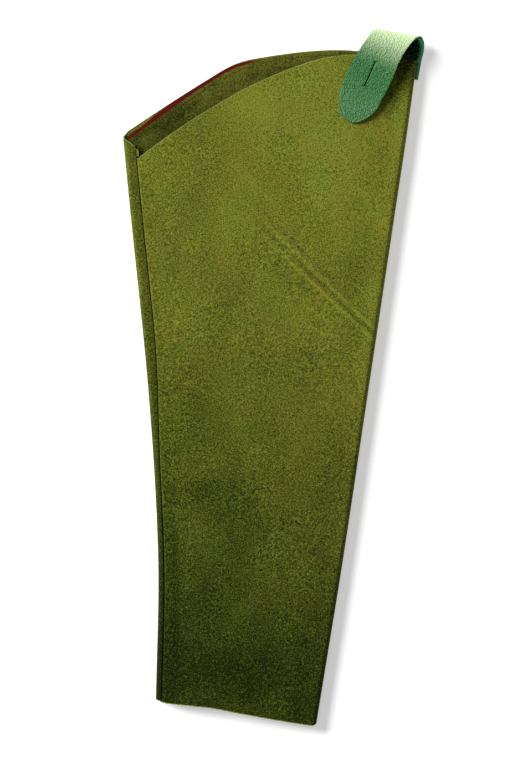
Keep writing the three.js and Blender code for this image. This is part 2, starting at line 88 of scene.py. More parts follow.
def length(name, description, default):
    return FloatProperty(name=name, description=description, default=default, min=0, unit="LENGTH")


def colour(name, description, default):
    return FloatVectorProperty(
        name=name, description=description, default=default, size=3, min=0, max=1, subtype="COLOR"
    )


class ChapPattern(PropertyGroup):
    """Sizes of the leg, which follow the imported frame."""

    leg_length: length("Leg length", "Lowest point of the hem to the waist", 0.8788)
    hem_width: length("Hem width", "Flat width at the hem", 0.2135)
    calf_width: length("Calf width", "Flat width at the calf", 0.2405)
    knee_width: length("Knee width", "Flat width at the knee", 0.2834)
    thigh_width: length("Thigh width", "Flat width at the thigh", 0.3484)
    crotch_width: length("Crotch width", "Flat width at the crotch", 0.369)
    waist_width: length("Waist width", "Flat width at the waist", 0.394)
    shell_thickness: length("Shell thickness", "Thickness of the outer leather", 0.0014)
    layer_thickness: length("Layer thickness", "Thickness of one protection layer", 0.0008)
    lining_thickness: length("Lining thickness", "Thickness of the lining", 0.001)
    tab_thickness: length("Tab thickness", "Thickness of the belt tab", 0.003)
    stitch_pitch: length("Stitch pitch", "From one stitch to the next", 0.0042)
    stitch_radius: length("Stitch radius", "Half the thickness of the thread", 0.00045)


class ChapFinish(PropertyGroup):
    """Colours of the leather, cloth, thread and steel."""

    suede: colour("Suede", "Outer leather", (0.104, 0.138, 0.0135))
    suede_dark: colour("Suede, dark", "Outer leather where the nap lies dark", (0.007, 0.013, 0.0012))
    suede_warm: colour("Suede, warm", "Brownish blooms in the outer leather", (0.125, 0.1, 0.013))
    cut_edge: colour("Cut edge", "Raw edges of the leather", (0.36, 0.42, 0.11))
    lining: colour("Lining", "Leather lining", (0.1, 0.112, 0.014))
    layers: colour("Protection layers", "Cut-protection knit", (0.17, 0.012, 0.008))
    tab: colour("Belt tab", "Thick jade leather", (0.038, 0.225, 0.058))
    # pale jade for the painted highlight on the strap's curl and for the pebbles' pale specks
    tab_highlight_and_specks: colour("Belt tab, light", "Jade leather where it is bent and rubbed", (0.78, 1.0, 0.55))
    tab_edge: colour("Belt tab, edge", "Cut edge of the jade leather", (0.07, 0.27, 0.13))
    tab_flesh: colour("Belt tab, flesh side", "Underside of the jade leather", (0.08, 0.29, 0.15))
    thread: colour("Thread", "Sewing thread", (0.06, 0.066, 0.013))
    steel: colour("Steel", "Rivets and burrs", (0.3, 0.29, 0.27))


class ChapStage(PropertyGroup):
    """The floor, lights and camera."""

    floor: colour("Floor", "Plain pale floor", (0.92, 0.92, 0.92))
    key_strength: FloatProperty(name="Key strength", description="Upper left light", default=5.1, min=0)
    fill_strength: FloatProperty(name="Fill strength", description="Overhead light", default=0.25, min=0)
    view_height: length("View height", "What the camera sees from top to bottom", 0.9984)
    lens: FloatProperty(name="Lens", description="Camera's focal length", default=200, unit="CAMERA")
    rows: IntProperty(name="Rows", description="Rows of faces along the leather", default=236, min=20)


# ---------------------------------------------------------------- curves of the pattern


def mix(a, b, t):
    return a + (b - a) * t


def smoothstep(x, low, high):
    t = min(max((x - low) / (high - low), 0), 1)
    return t * t * (3 - 2 * t)


def smooth_through(points):
    """A smooth function through [(x, y), ...], straight beyond both ends."""
    last = len(points) - 1
    slopes = []
    for i in range(len(points)):
        (x0, y0), (x1, y1) = points[max(i - 1, 0)], points[min(i + 1, last)]
        slopes.append((y1 - y0) / (x1 - x0))

    def curve(x):
        if x <= points[0][0]:
            return points[0][1] + slopes[0] * (x - points[0][0])
        if x >= points[last][0]:
            return points[last][1] + slopes[last] * (x - points[last][0])
        i = next(k for k in range(last) if points[k + 1][0] > x)
        (x0, y0), (x1, y1) = points[i], points[i + 1]
        span = x1 - x0
        t = (x - x0) / span
        return (
            y0 * (2 * t**3 - 3 * t**2 + 1)
            + slopes[i] * span * (t**3 - 2 * t**2 + t)
            + y1 * (3 * t**2 - 2 * t**3)
            + slopes[i + 1] * span * (t**3 - t**2)
        )

    return curve


class Outline:
    """The flat leg's outline in the frame: its two folds and its cut edges."""

    far_top_curve = staticmethod(smooth_through([
        (0, 0), (0.122, 0.265), (0.291, 0.632), (0.398, 0.846), (0.504, 0.93),
        (0.661, 1), (0.792, 1), (1, 0.895),
    ]))
    near_top_curve = staticmethod(smooth_through([
        (0.046, 0), (0.245, 0.369), (0.455, 0.709), (0.656, 0.942), (0.79, 1), (1, 0.93),
    ]))
    hem_curve = staticmethod(smooth_through([
        (0, 1), (0.06, 0.85), (0.34, 0.67), (0.54, 0.44), (0.92, 0.05), (0.975, 0.02), (1, 0.1),
    ]))
    far_rise, near_rise, hem_rise = 0.1092, 0.134, 0.035
    near_drop = 0.0065

    def __init__(self, sizes):
        heights = (0.036, 0.246, 0.482, 0.778, 0.873, 1)
        widths = (
            sizes.hem_width, sizes.calf_width, sizes.knee_width,
            sizes.thigh_width, sizes.crotch_width, sizes.waist_width,
        )
        middles = (-0.0158, 0.0007, 0.0104, 0.0169, 0.0192, 0.022)
        self.length = sizes.leg_length
        self.hem_y = SHELL_LOW.y
        places = [h * self.length for h in heights]
        self.width = smooth_through(list(zip(places, widths)))
        self.middle = smooth_through(list(zip(places, middles)))
        corner = self.length - self.far_rise
        self.shift = SHELL_LOW.x - (self.middle(corner) - self.width(corner) / 2)

    def inseam(self, y):
        """The left fold's x at a height y in the frame."""
        h = y - self.hem_y
        return self.middle(h) - self.width(h) / 2 + self.shift

    def outseam(self, y):
        h = y - self.hem_y
        return self.middle(h) + self.width(h) / 2 + self.shift

    def share(self, x, y):
        return (x - self.inseam(y)) / self.width(y - self.hem_y)

    def far_top(self, share):
        return self.hem_y + self.length - self.far_rise * (1 - self.far_top_curve(share))

    def near_top(self, share):
        top = self.hem_y + self.length - self.near_drop
        return top - self.near_rise * (1 - self.near_top_curve(share))

    def hem(self, share):
        return self.hem_y + self.hem_rise * self.hem_curve(share)

    def groove(self, y):
        """Where the inseam's groove lies on the near side."""
        inset = mix(8.2, 15.6, smoothstep((y - self.hem_y) / self.length, 0.36, 0.6)) * MM
        return self.inseam(y) + inset

    def on_edge(self, edge, x, start):
        """The height at which a line x(y) meets an edge."""
        y = start
        for _ in range(12):
            y = edge(self.share(x(y), y))
        return y


def outline():
    return Outline(bpy.context.scene.chap_pattern)


# ---------------------------------------------------------------- mesh helpers


def grid_mesh(columns, rows, place, hole=None):
    """A grid whose point at column i and row j stands at place(i, j), open where hole(i, j)."""
    mesh = bmesh.new()
    bmesh.ops.create_grid(mesh, x_segments=columns - 1, y_segments=rows - 1, size=1)
    if hole:
        gone = []
        for face in mesh.faces:
            centre = face.calc_center_median()
            i = int((centre.x + 1) / 2 * (columns - 1))
            j = int((centre.y + 1) / 2 * (rows - 1))
            if hole(i, j):
                gone.append(face)
        bmesh.ops.delete(mesh, geom=gone, context="FACES")
    for vert in mesh.verts:
        i = round((vert.co.x + 1) / 2 * (columns - 1))
        j = round((vert.co.y + 1) / 2 * (rows - 1))
        vert.co = place(i, j)
    return mesh


def piece_from(mesh, name, materials):
    """A new object from a bmesh, with its materials."""
    data = bpy.data.meshes.new(name)
    mesh.to_mesh(data)
    mesh.free()
    for material in materials:
        data.materials.append(material)
    piece = bpy.data.objects.new(name, data)
    bpy.context.scene.collection.objects.link(piece)
    return piece


def thicken(piece, thickness, bevel=0.0, back=0):
    """Gives a sheet its thickness, with its rim in the second material."""
    solid = piece.modifiers.new("Thickness", "SOLIDIFY")
    solid.thickness = thickness
    solid.offset = 0
    solid.use_even_offset = True
    solid.material_offset_rim = 1
    solid.material_offset = back
    if bevel:
        edge = piece.modifiers.new("Rounded edge", "BEVEL")
        edge.width = bevel
        edge.segments = 2
        edge.limit_method = "ANGLE"
        edge.angle_limit = math.radians(50)
    bpy.context.view_layer.objects.active = piece
    for modifier in list(piece.modifiers):
        bpy.ops.object.modifier_apply(modifier=modifier.name)


def smooth_faces(piece, sharp_angle=42):
    """Smooth shading, with edges sharper than an angle in degrees kept crisp."""
    mesh = bmesh.new()
    mesh.from_mesh(piece.data)
    bmesh.ops.recalc_face_normals(mesh, faces=mesh.faces)
    limit = math.radians(sharp_angle)
    for face in mesh.faces:
        face.smooth = True
    for edge in mesh.edges:
        edge.smooth = edge.calc_face_angle(0) < limit
    mesh.to_mesh(piece.data)
    mesh.free()


def paint(piece, name, value):
    """Writes value(point) to a number on each point, for the material to read."""
    attribute = piece.data.attributes.new(name, "FLOAT", "POINT")
    attribute.data.foreach_set("value", [value(vert.co) for vert in piece.data.vertices])


# ---------------------------------------------------------------- shader groups


def add_node(tree, kind, inputs=None, **settings):
    """Adds a node, with inputs by name or number, each a value or another node's socket."""
    made = tree.nodes.new(kind)
    for key, value in settings.items():
        setattr(made, key, value)
    for key, value in (inputs or {}).items():
        if isinstance(value, bpy.types.NodeSocket):
            tree.links.new(value, made.inputs[key])
        else:
            made.inputs[key].default_value = value
    return made


def remap(tree, value, low, high, to_low, to_high, ease="LINEAR"):
    made = add_node(tree, "ShaderNodeMapRange", {
        "Value": value, "From Min": low, "From Max": high, "To Min": to_low, "To Max": to_high,
    }, interpolation_type=ease)
    return made.outputs["Result"]


def math_node(tree, operation, a, b=0.0):
    return add_node(tree, "ShaderNodeMath", {0: a, 1: b}, operation=operation).outputs[0]


def plus(tree, a, b):
    return math_node(tree, "ADD", a, b)


def times(tree, a, b):
    return math_node(tree, "MULTIPLY", a, b)


def cloudy(tree, vector, scale, detail, roughness=0.5, distortion=0.0):
    """Soft noise from 0 to 1."""
    return add_node(tree, "ShaderNodeTexNoise", {
        "Vector": vector, "Scale": scale, "Detail": detail, "Roughness": roughness,
        "Distortion": distortion,
    }).outputs["Fac"]


def painted(tree, name):
    """What paint() wrote on the points."""
    return add_node(tree, "ShaderNodeAttribute", attribute_name=name).outputs["Fac"]


def mix_colours(tree, factor, a, b, blend="MIX"):
    made = add_node(tree, "ShaderNodeMix", {0: factor, 6: a, 7: b}, data_type="RGBA", blend_type=blend)
    return made.outputs[2]


def new_group(name, inputs, outputs):
    """A shader node group with named sockets: {name: (type, default)} and {name: type}."""
    group = bpy.data.node_groups.new(name, "ShaderNodeTree")
    for socket, (kind, default) in inputs.items():
        made = group.interface.new_socket(socket, in_out="INPUT", socket_type=kind)
        if default is not None:
            made.default_value = default
    for socket, kind in outputs.items():
        group.interface.new_socket(socket, in_out="OUTPUT", socket_type=kind)
    return group, group.nodes.new("NodeGroupInput"), group.nodes.new("NodeGroupOutput")


def nap_group():
    """Fibrous nap of split leather: fine specks, coarser tufts and broad blooms."""
    group, given, result = new_group(
        "Leather Nap",
        {
            "Vector": ("NodeSocketVector", None),
            "Grain": ("NodeSocketFloat", 620.0),
            "Bloom": ("NodeSocketFloat", 14.0),
            "Grain Contrast": ("NodeSocketFloat", 0.5),
            "Bloom Contrast": ("NodeSocketFloat", 0.25),
        },
        {"Shade": "NodeSocketFloat", "Warmth": "NodeSocketFloat", "Height": "NodeSocketFloat"},
    )
    vector, grain, bloom = (given.outputs[name] for name in ("Vector", "Grain", "Bloom"))
    specks = cloudy(group, vector, grain, 1.5, 0.6)
    tufts = cloudy(group, vector, times(group, grain, 0.48), 2.0, 0.6, 0.3)
    blooms = cloudy(group, vector, bloom, 2.5)
    drift = cloudy(group, vector, times(group, bloom, 1.7), 2.0, distortion=0.2)
    fine = plus(group, remap(group, specks, 0.25, 0.75, -0.8, 0.8),
                remap(group, tufts, 0.25, 0.75, -0.3, 0.3))
    fine = times(group, fine, given.outputs["Grain Contrast"])
    broad = times(group, remap(group, blooms, 0.3, 0.7, -1.0, 1.0), given.outputs["Bloom Contrast"])
    hue = plus(group, remap(group, drift, 0.38, 0.66, 0.0, 0.8),
               remap(group, tufts, 0.42, 0.62, 0.0, 0.5))
    group.links.new(plus(group, plus(group, fine, broad), 0.5), result.inputs["Shade"])
    group.links.new(hue, result.inputs["Warmth"])
    group.links.new(plus(group, specks, tufts), result.inputs["Height"])
    return group


def knit_group():
    """Rows of a loose long-fibre knit."""
    group, given, result = new_group(
        "Fibre Knit",
        {"Vector": ("NodeSocketVector", None), "Stitch": ("NodeSocketFloat", 900.0)},
        {"Shade": "NodeSocketFloat", "Height": "NodeSocketFloat"},
    )
    vector, stitch = given.outputs["Vector"], given.outputs["Stitch"]
    courses = add_node(group, "ShaderNodeTexWave", {
        "Vector": vector, "Scale": times(group, stitch, 0.16), "Distortion": 3.0, "Detail": 2.0,
        "Detail Scale": 1.5,
    }, bands_direction="Y").outputs["Fac"]
    fibres = cloudy(group, vector, stitch, 4.0, 0.7)
    both = plus(group, times(group, courses, 0.45), times(group, fibres, 0.8))
    group.links.new(remap(group, both, 0.25, 0.95, 0.0, 1.0), result.inputs["Shade"])
    group.links.new(both, result.inputs["Height"])
    return group


def ridge_group():
    """A soft line across the leather, pressed out from behind by a lap or its stitches, for its bump and
    its painted shade.
    """
    group, given, result = new_group(
        "Pressed Ridge",
        {
            "Vector": ("NodeSocketVector", None),
            "Start": ("NodeSocketVector", None),
            "Along": ("NodeSocketVector", None),
            "Across": ("NodeSocketVector", None),
            "Width": ("NodeSocketFloat", 0.0026),
        },
        {"Mask": "NodeSocketFloat"},
    )
    away = add_node(group, "ShaderNodeVectorMath", {
        0: given.outputs["Vector"], 1: given.outputs["Start"],
    }, operation="SUBTRACT").outputs["Vector"]
    along, off = (
        add_node(group, "ShaderNodeVectorMath", {0: away, 1: given.outputs[side]},
                 operation="DOT_PRODUCT").outputs["Value"]
        for side in ("Along", "Across")
    )
    off = math_node(group, "ABSOLUTE", off)
    near = remap(group, off, 0.0, given.outputs["Width"], 1.0, 0.0, "SMOOTHSTEP")
    grows = remap(group, along, 0.0, 0.5, 0.0, 1.0, "SMOOTHSTEP")
    stops = remap(group, along, 1.0, 1.08, 1.0, 0.0, "SMOOTHSTEP")
    mask = times(group, near, times(group, grows, stops))
    group.links.new(mask, result.inputs["Mask"])
    return group


def add_ridges(tree, place, ridges):
    """The sum of the ridges' masks, each by its own strength."""
    total = None
    for start, end, width, strength in ridges:
        line = Vector(end) - Vector(start)
        mask = add_node(tree, "ShaderNodeGroup", {
            "Vector": place,
            "Start": (*start, 0),
            "Along": (*(line / line.length_squared), 0),
            "Across": (line.y / line.length, -line.x / line.length, 0),
            "Width": width,
        }, node_tree=shared_group("Pressed Ridge", ridge_group)).outputs["Mask"]
        share = times(tree, mask, strength)
        total = share if total is None else plus(tree, total, share)
    return total


def shared_group(name, build):
    return bpy.data.node_groups.get(name) or build()


# ---------------------------------------------------------------- materials


def start_material(name, roughness, sheen=0.0, sheen_tint=(1, 1, 1, 1), metallic=0.0, specular=0.5):
    material = bpy.data.materials.new(name)
    material.use_nodes = True
    tree = material.node_tree
    shader = tree.nodes["Principled BSDF"]
    shader.inputs["Roughness"].default_value = roughness
    shader.inputs["Metallic"].default_value = metallic
    shader.inputs["Specular IOR Level"].default_value = specular
    shader.inputs["Sheen Weight"].default_value = sheen
    shader.inputs["Sheen Roughness"].default_value = 0.5
    shader.inputs["Sheen Tint"].default_value = sheen_tint
    place = tree.nodes.new("ShaderNodeTexCoord").outputs["Object"]
    return material, tree, shader, place


def add_surface(tree, shader, tone, height, strength, distance):
    """Gives a shader its colour and its bump."""
    bump = add_node(tree, "ShaderNodeBump", {
        "Height": height, "Strength": strength, "Distance": distance,
    })
    tree.links.new(tone, shader.inputs["Base Color"])
    tree.links.new(bump.outputs["Normal"], shader.inputs["Normal"])


def rgba(values, share=1.0):
    """A colour, or a share of it, that lets nothing through."""
    return (*(value * share for value in values), 1.0)


def nap_node(tree, place, grain, contrast, bloom=0.25):
    """The nap's outputs: how fine it is, and how strongly its specks and its blooms show."""
    return add_node(tree, "ShaderNodeGroup", {
        "Vector": place, "Grain": grain, "Grain Contrast": contrast, "Bloom Contrast": bloom,
    }, node_tree=shared_group("Leather Nap", nap_group)).outputs


NAP_GAIN = 2.17  # how much brighter than its set colour suede is where all its nap lies light


def suede_material(name, light, dark, warm, grain=620, contrast=1.8, bloom=0.16, ridges=()):
    """Split leather: its nap lies light or dark, and an attribute paints it lighter or darker, painted
    shade and shadow included.
    """
    material, tree, shader, place = start_material(name, 0.95, sheen=0.06, specular=0.05,
                                                   sheen_tint=rgba(light))
    nap = nap_node(tree, place, grain, contrast, bloom)
    # the attribute holds painted tone, painted shade and the belt tab's painted shadow
    shade, height = plus(tree, nap["Shade"], painted(tree, "nap")), nap["Height"]
    if ridges:
        # the ridges raise the bump and paint their crests paler and their channels darker as shade
        ridge_bump_and_painted_shade = add_ridges(tree, place, ridges)
        shade = plus(tree, shade, ridge_bump_and_painted_shade)
        height = plus(tree, height, times(tree, ridge_bump_and_painted_shade, 2.0))
    lit = math_node(tree, "POWER", remap(tree, shade, -1.0, 2.4, 0.0, 1.0), 2.0)
    warm_share = plus(tree, times(tree, nap["Warmth"], 0.42),
                      remap(tree, shade, 0.3, 1.6, -0.22, 0.18))
    body = mix_colours(tree, warm_share, rgba(light, NAP_GAIN), rgba(warm, NAP_GAIN))
    add_surface(tree, shader, mix_colours(tree, lit, rgba(dark), body), height, 0.7, 0.0006)
    return material


def edge_material(name, tone):
    """A raw cut edge: pale fibres."""
    material, tree, shader, place = start_material(name, 1.0, specular=0.0)
    nap = nap_node(tree, place, 900, 0.9)
    shaded = mix_colours(tree, nap["Shade"], rgba(tone, 0.35), rgba(tone))
    add_surface(tree, shader, shaded, nap["Height"], 0.5, 0.0004)
    return material


def knit_material(name, tone):
    material, tree, shader, place = start_material(name, 0.95, sheen=0.03, specular=0.06)
    knit = add_node(tree, "ShaderNodeGroup", {"Vector": place},
                    node_tree=shared_group("Fibre Knit", knit_group)).outputs
    shaded = mix_colours(tree, knit["Shade"], rgba(tone, 0.3), rgba(tone))
    add_surface(tree, shader, shaded, knit["Height"], 0.8, 0.0006)
    return material


def jade_material(name, tone, light):
    """Thick strap leather with a coarse pebbled grain, and a painted highlight where it curls."""
    material, tree, shader, place = start_material(name, 0.62, sheen=0.05, specular=0.35)
    nap = nap_node(tree, place, 700, 0.55, 0.1)
    pebbles = add_node(tree, "ShaderNodeTexVoronoi", {"Vector": place, "Scale": 620.0},
                       feature="SMOOTH_F1").outputs["Distance"]
    creases = remap(tree, pebbles, 0.1, 0.75, 1.0, 0.0)
    # the painted highlight on the strap's curl
    bent = painted(tree, "bend")
    body = mix_colours(tree, bent, rgba(tone), rgba(light))
    shade = plus(tree, times(tree, nap["Shade"], 0.6), times(tree, creases, 0.5))
    dark_share = times(tree, remap(tree, shade, 0.2, 0.85, 0.6, 0.0),
                       remap(tree, bent, 0.0, 1.0, 1.0, 0.3))
    shaded = mix_colours(tree, dark_share, body, rgba(tone, 0.3))
    shaded = mix_colours(tree, remap(tree, shade, 0.65, 1.0, 0.0, 0.26), shaded, rgba(light))
    add_surface(tree, shader, shaded, plus(tree, creases, nap["Height"]), 0.8, 0.0009)
    return material


def thread_material(name, tone):
    material, tree, shader, place = start_material(name, 0.8, specular=0.1)
    twist = add_node(tree, "ShaderNodeTexWave", {
        "Vector": place, "Scale": 700.0, "Distortion": 1.0,
    }, bands_direction="DIAGONAL").outputs["Fac"]
    add_surface(tree, shader, mix_colours(tree, twist, rgba(tone, 0.5), rgba(tone)), twist, 0.5, 0.0002)
    return material


def steel_material(name, tone):
    material, tree, shader, place = start_material(name, 0.35, metallic=1.0)
    smear = cloudy(tree, place, 260.0, 4.0, 0.65)
    tree.links.new(remap(tree, smear, 0.3, 0.7, 0.25, 0.55), shader.inputs["Roughness"])
    smeared = remap(tree, smear, 0.45, 0.75, 0.0, 0.7)
    shaded = mix_colours(tree, smeared, rgba(tone), rgba(tone, 0.45))
    add_surface(tree, shader, shaded, smear, 0.15, 0.0002)
    return material


def floor_material(name, tone):
    material, tree, shader, place = start_material(name, 0.8, specular=0.1)
    shader.inputs["Base Color"].default_value = rgba(tone)
    shader.inputs["Emission Color"].default_value = rgba(tone)
    shader.inputs["Emission Strength"].default_value = 0.45
    return material


# ---------------------------------------------------------------- the tube's section

FOLD_HALF_HEIGHT = 7.5 * MM
FOLD_DEPTH = 5.2 * MM
CROWN_RISE = 3 * MM
SEAM_FOLD_RADIUS = 1.4 * MM
SEAM_ALLOWANCE = 7 * MM
STRIP_BEND_RADIUS = 0.9 * MM
CLEARANCE = 0.3 * MM
# How the strip beside the seam ends at the top, below the corner of the far side
STRIP_SLANT = 9 * MM
STRIP_DROPS = (15 * MM, 17 * MM)
TONGUE_RISE = 12 * MM
TAB_OVERLAP = 30.5 * MM
TAB_ROOM = 51.2 * MM
TAB_RAMP = 18 * MM
# Columns of the far side beside the outseam, where the leather is lifted by the tab
TAB_COLUMNS = (12, 20, 28, 36, 44, 51.2, 54, 57.5, 61, 64.5, 69.2)


class Column:
    """A line along the leather: where it is at a height, and the edges that it runs between."""

    def __init__(self, x, z, top, bottom, lift=0.0, relief=0.0):
        self.x, self.z, self.top, self.bottom = x, z, top, bottom
        self.lift, self.relief = lift, relief
        self.stand = 0.0


class Section:
    """The flat tube's section, as columns from the turned edge round to the strip's edge."""

    near_columns = 104
    far_columns = 28

    def __init__(self, shape, sizes):
        half = sizes.shell_thickness / 2
        self.shape = shape
        self.half = half
        self.fold_top = half + 2 * FOLD_HALF_HEIGHT
        self.fold_middle = half + FOLD_HALF_HEIGHT
        self.seam_height = self.fold_top - STRIP_BEND_RADIUS
        self.near_edge = self.seam_height + SEAM_FOLD_RADIUS
        self.fold_inset = half + FOLD_DEPTH
        self.seam_offset = SEAM_FOLD_RADIUS + half
        self.strip_radius = SEAM_FOLD_RADIUS + sizes.shell_thickness + CLEARANCE + 0.1 * MM
        self.tab_lift = sizes.tab_thickness + CLEARANCE
        self.seam_top = shape.on_edge(shape.near_top, shape.groove, SHELL_HIGH.y)
        self.columns = []
        self.fill()

    def seam_fold(self, y):
        return self.shape.groove(y) + self.seam_offset

    def outer_fold(self, y):
        return self.shape.outseam(y) - self.fold_inset

    def inner_fold(self, y):
        return self.shape.inseam(y) + self.fold_inset

    def allowance(self, y):
        """The strip's edge inside the seam, trimmed narrow where it stands up past the seam."""
        past_seam = smoothstep(y, self.seam_top - 6 * MM, self.seam_top + 3 * MM)
        return mix(SEAM_ALLOWANCE, 0.6 * MM, past_seam)

    def crown(self, share):
        rise = smoothstep(share, 0, 0.2) * (1 - smoothstep(share, 0.8, 1))
        return mix(self.near_edge, self.fold_top, share) + CROWN_RISE * rise

    def add(self, x, z, edge, lift=0.0, relief=0.0):
        top = self.shape.on_edge(edge, x, SHELL_HIGH.y) if callable(edge) else edge
        bottom = self.shape.on_edge(self.shape.hem, x, SHELL_LOW.y)
        self.columns.append(Column(x, z, top, bottom, lift, relief))

    def turn(self, centre, height, rx, rz, start, end, count, top, lift=0.0):
        """Columns round a bend, from one angle to another in degrees."""
        for k in range(count):
            share = k / (count - 1)
            angle = math.radians(mix(start, end, share))
            reach = rx * math.cos(angle)
            edge = top(share) if callable(top) else top
            self.add(lambda y, reach=reach: centre(y) + reach, height + rz * math.sin(angle), edge, lift)

    def fill(self):
        shape, top = self.shape, self.seam_top
        far_corner = shape.far_top(0)
        self.add(lambda y: self.seam_fold(y) + SEAM_ALLOWANCE, self.seam_height - SEAM_FOLD_RADIUS, top)
        self.turn(self.seam_fold, self.seam_height, SEAM_FOLD_RADIUS, SEAM_FOLD_RADIUS, 270, 90, 9, top)
        for k in range(1, self.near_columns):
            s = k / self.near_columns
            self.add(lambda y, s=s: mix(self.seam_fold(y), self.outer_fold(y), s), self.crown(s),
                     shape.near_top, relief=1.0)
        near_right, far_right = shape.near_top(1), shape.far_top(1)
        self.turn(self.outer_fold, self.fold_middle, FOLD_DEPTH, FOLD_HALF_HEIGHT, 90, -90, 13,
                  lambda share: mix(near_right, far_right, share), 1)
        for inset in TAB_COLUMNS:
            lift = 1 - smoothstep(inset * MM, TAB_ROOM, TAB_ROOM + TAB_RAMP)
            self.add(lambda y, d=inset * MM: shape.outseam(y) - d, self.half, shape.far_top, lift)
        foot = TAB_ROOM + TAB_RAMP
        for k in range(1, self.far_columns + 1):
            s = k / self.far_columns
            self.add(lambda y, s=s: mix(shape.outseam(y) - foot, self.inner_fold(y), s), self.half,
                     shape.far_top)
        # the strip's top edge slants down from the fold to the seam, whose corner stands up
        self.turn(self.inner_fold, self.fold_middle, FOLD_DEPTH, FOLD_HALF_HEIGHT, 240, 90, 11,
                  lambda share: far_corner - STRIP_SLANT * share)
        drop = self.strip_radius - self.seam_offset + STRIP_BEND_RADIUS
        self.turn(lambda y: shape.groove(y) - drop, self.fold_top - STRIP_BEND_RADIUS,
                  STRIP_BEND_RADIUS, STRIP_BEND_RADIUS, 90, 0, 5,
                  lambda share: far_corner - mix(*STRIP_DROPS, share))
        tongue = top + TONGUE_RISE
        self.turn(self.seam_fold, self.seam_height, self.strip_radius, self.strip_radius, 210, 270, 4,
                  tongue)
        self.add(lambda y: self.seam_fold(y) + self.allowance(y),
                 self.seam_height - self.strip_radius, tongue)
        for column in self.columns[-5:]:
            column.stand = self.near_edge - column.z


def row_share(row, rows):
    """Rows stand closer together in the upper half, where the lap's ridges cross."""
    t = row / (rows - 1)
    return t + 0.42 * t * (1 - t)


def row_height(row, rows, low, high, rim):
    """A row's height, with the first and last rows a rim's width from the next."""
    if row == 0:
        return low
    if row == rows - 1:
        return high
    return mix(low + rim, high - rim, row_share(row - 1, rows - 2))


# ---------------------------------------------------------------- relief, nap and painted shade of the leather

# Ridges that the lining's lap and its stitches press into the leather, and the channels
# beside them: from, to, half width, change of shade. The ridges' paler crests are partly
# rubbed nap and partly a painted highlight; the channels' darkening is painted shade.
RIDGES = (
    ((-0.0608, 0.2520), (0.1277, 0.0674), 0.0042, 0.50),
    ((-0.0374, 0.2065), (0.1277, 0.0531), 0.0044, 0.56),
    ((-0.0621, 0.2910), (0.0055, 0.2221), 0.0050, 0.20),
)
CHANNELS = (
    ((-0.0480, 0.2290), (0.1277, 0.0605), 0.0050, -0.34),
    ((-0.0540, 0.2590), (0.1290, 0.0745), 0.0055, -0.16),
)
# Soft dents and swells: middle, reach across, reach along, depth
DENTS = (
    ((-0.0855, -0.1484), 0.045, 0.014, -0.0020),
    ((-0.1220, -0.3000), 0.008, 0.130, -0.0014),
    ((-0.0558, -0.3789), 0.038, 0.017, -0.0022),
    ((-0.0725, -0.4120), 0.035, 0.010, 0.0012),
    ((-0.0100, -0.4188), 0.020, 0.014, -0.0010),
)
# Patches painted darker or lighter: middle, reach across, reach along, change of shade.
# The last two are a painted shadow of the belt tab on the hip corner.
TONE_PATCHES_AND_TAB_SHADOW = (
    ((-0.0800, -0.1510), 0.048, 0.018, -0.30),
    ((-0.0936, -0.1140), 0.032, 0.020, 0.12),
    ((-0.1270, -0.2600), 0.024, 0.160, -0.20),
    ((-0.1180, -0.3700), 0.014, 0.090, -0.16),
    ((-0.0558, -0.3800), 0.042, 0.022, -0.36),
    ((-0.0850, -0.4170), 0.036, 0.011, 0.26),
    ((-0.0300, -0.4340), 0.035, 0.011, 0.12),
    ((0.0550, -0.4376), 0.030, 0.022, -0.12),
    ((0.0300, 0.3300), 0.120, 0.070, 0.12),
    ((0.0900, -0.0500), 0.040, 0.090, -0.06),
    ((0.0450, 0.1200), 0.050, 0.016, -0.10),
    ((0.1000, 0.0900), 0.030, 0.024, 0.10),
    # painted shadow that the belt tab casts on the hip corner, beside and under the strap
    ((0.1740, 0.4100), 0.020, 0.034, -1.90),
    ((0.1530, 0.3640), 0.013, 0.030, -0.90),
)
# Soft creases in the lining, which dip its surface and are painted darker as shade: from, to, half width
LINING_CREASES = (
    ((-0.1722, 0.3155), (-0.1193, 0.3408), 0.0055),
    ((-0.1193, 0.3408), (-0.0941, 0.3609), 0.0055),
    ((-0.0524, 0.3790), (-0.0205, 0.3950), 0.0065),
)


def hill(x, y, middle, across, along):
    return math.exp(-((x - middle[0]) / across) ** 2 - ((y - middle[1]) / along) ** 2)


def crease(x, y, line):
    """1 on a line from start to end, falling to 0 over its half width."""
    start, end, width = Vector(line[0]), Vector(line[1]), line[2]
    run = end - start
    t = min(max((Vector((x, y)) - start).dot(run) / run.length_squared, 0), 1)
    return math.exp(-(((Vector((x, y)) - start - run * t).length / width) ** 2))


def relief(x, y):
    """How far the near side's leather stands above or below its smooth crown."""
    wave = noise.fractal(Vector((x * 9, y * 7, 0.3)), 1.0, 2.0, 3, noise_basis="BLENDER")
    height = 0.0012 * wave
    height += sum(depth * hill(x, y, m, a, b) for m, a, b, depth in DENTS)
    return height


def tone_and_painted_tab_shadow(point):
    """How much lighter or darker the leather is painted: lighter towards the hip and the outseam, darker
    towards the hem, with soft patches and a painted shadow of the belt tab on the hip corner.
    """
    x, y = point.x, point.y
    up = (y - SHELL_LOW.y) / (SHELL_HIGH.y - SHELL_LOW.y)
    paling = 1 - min(max((0.95 - up) / 0.9, 0), 1) ** 1.9
    tone = mix(-0.64, 1.25, paling) + 0.23 * x / SHELL_HIGH.x
    tone += 0.2 * noise.fractal(Vector((x * 14, y * 10, 4.0)), 1.0, 2.0, 4, noise_basis="BLENDER")
    tone += sum(change * hill(x, y, m, a, b) for m, a, b, change in TONE_PATCHES_AND_TAB_SHADOW)
    return tone


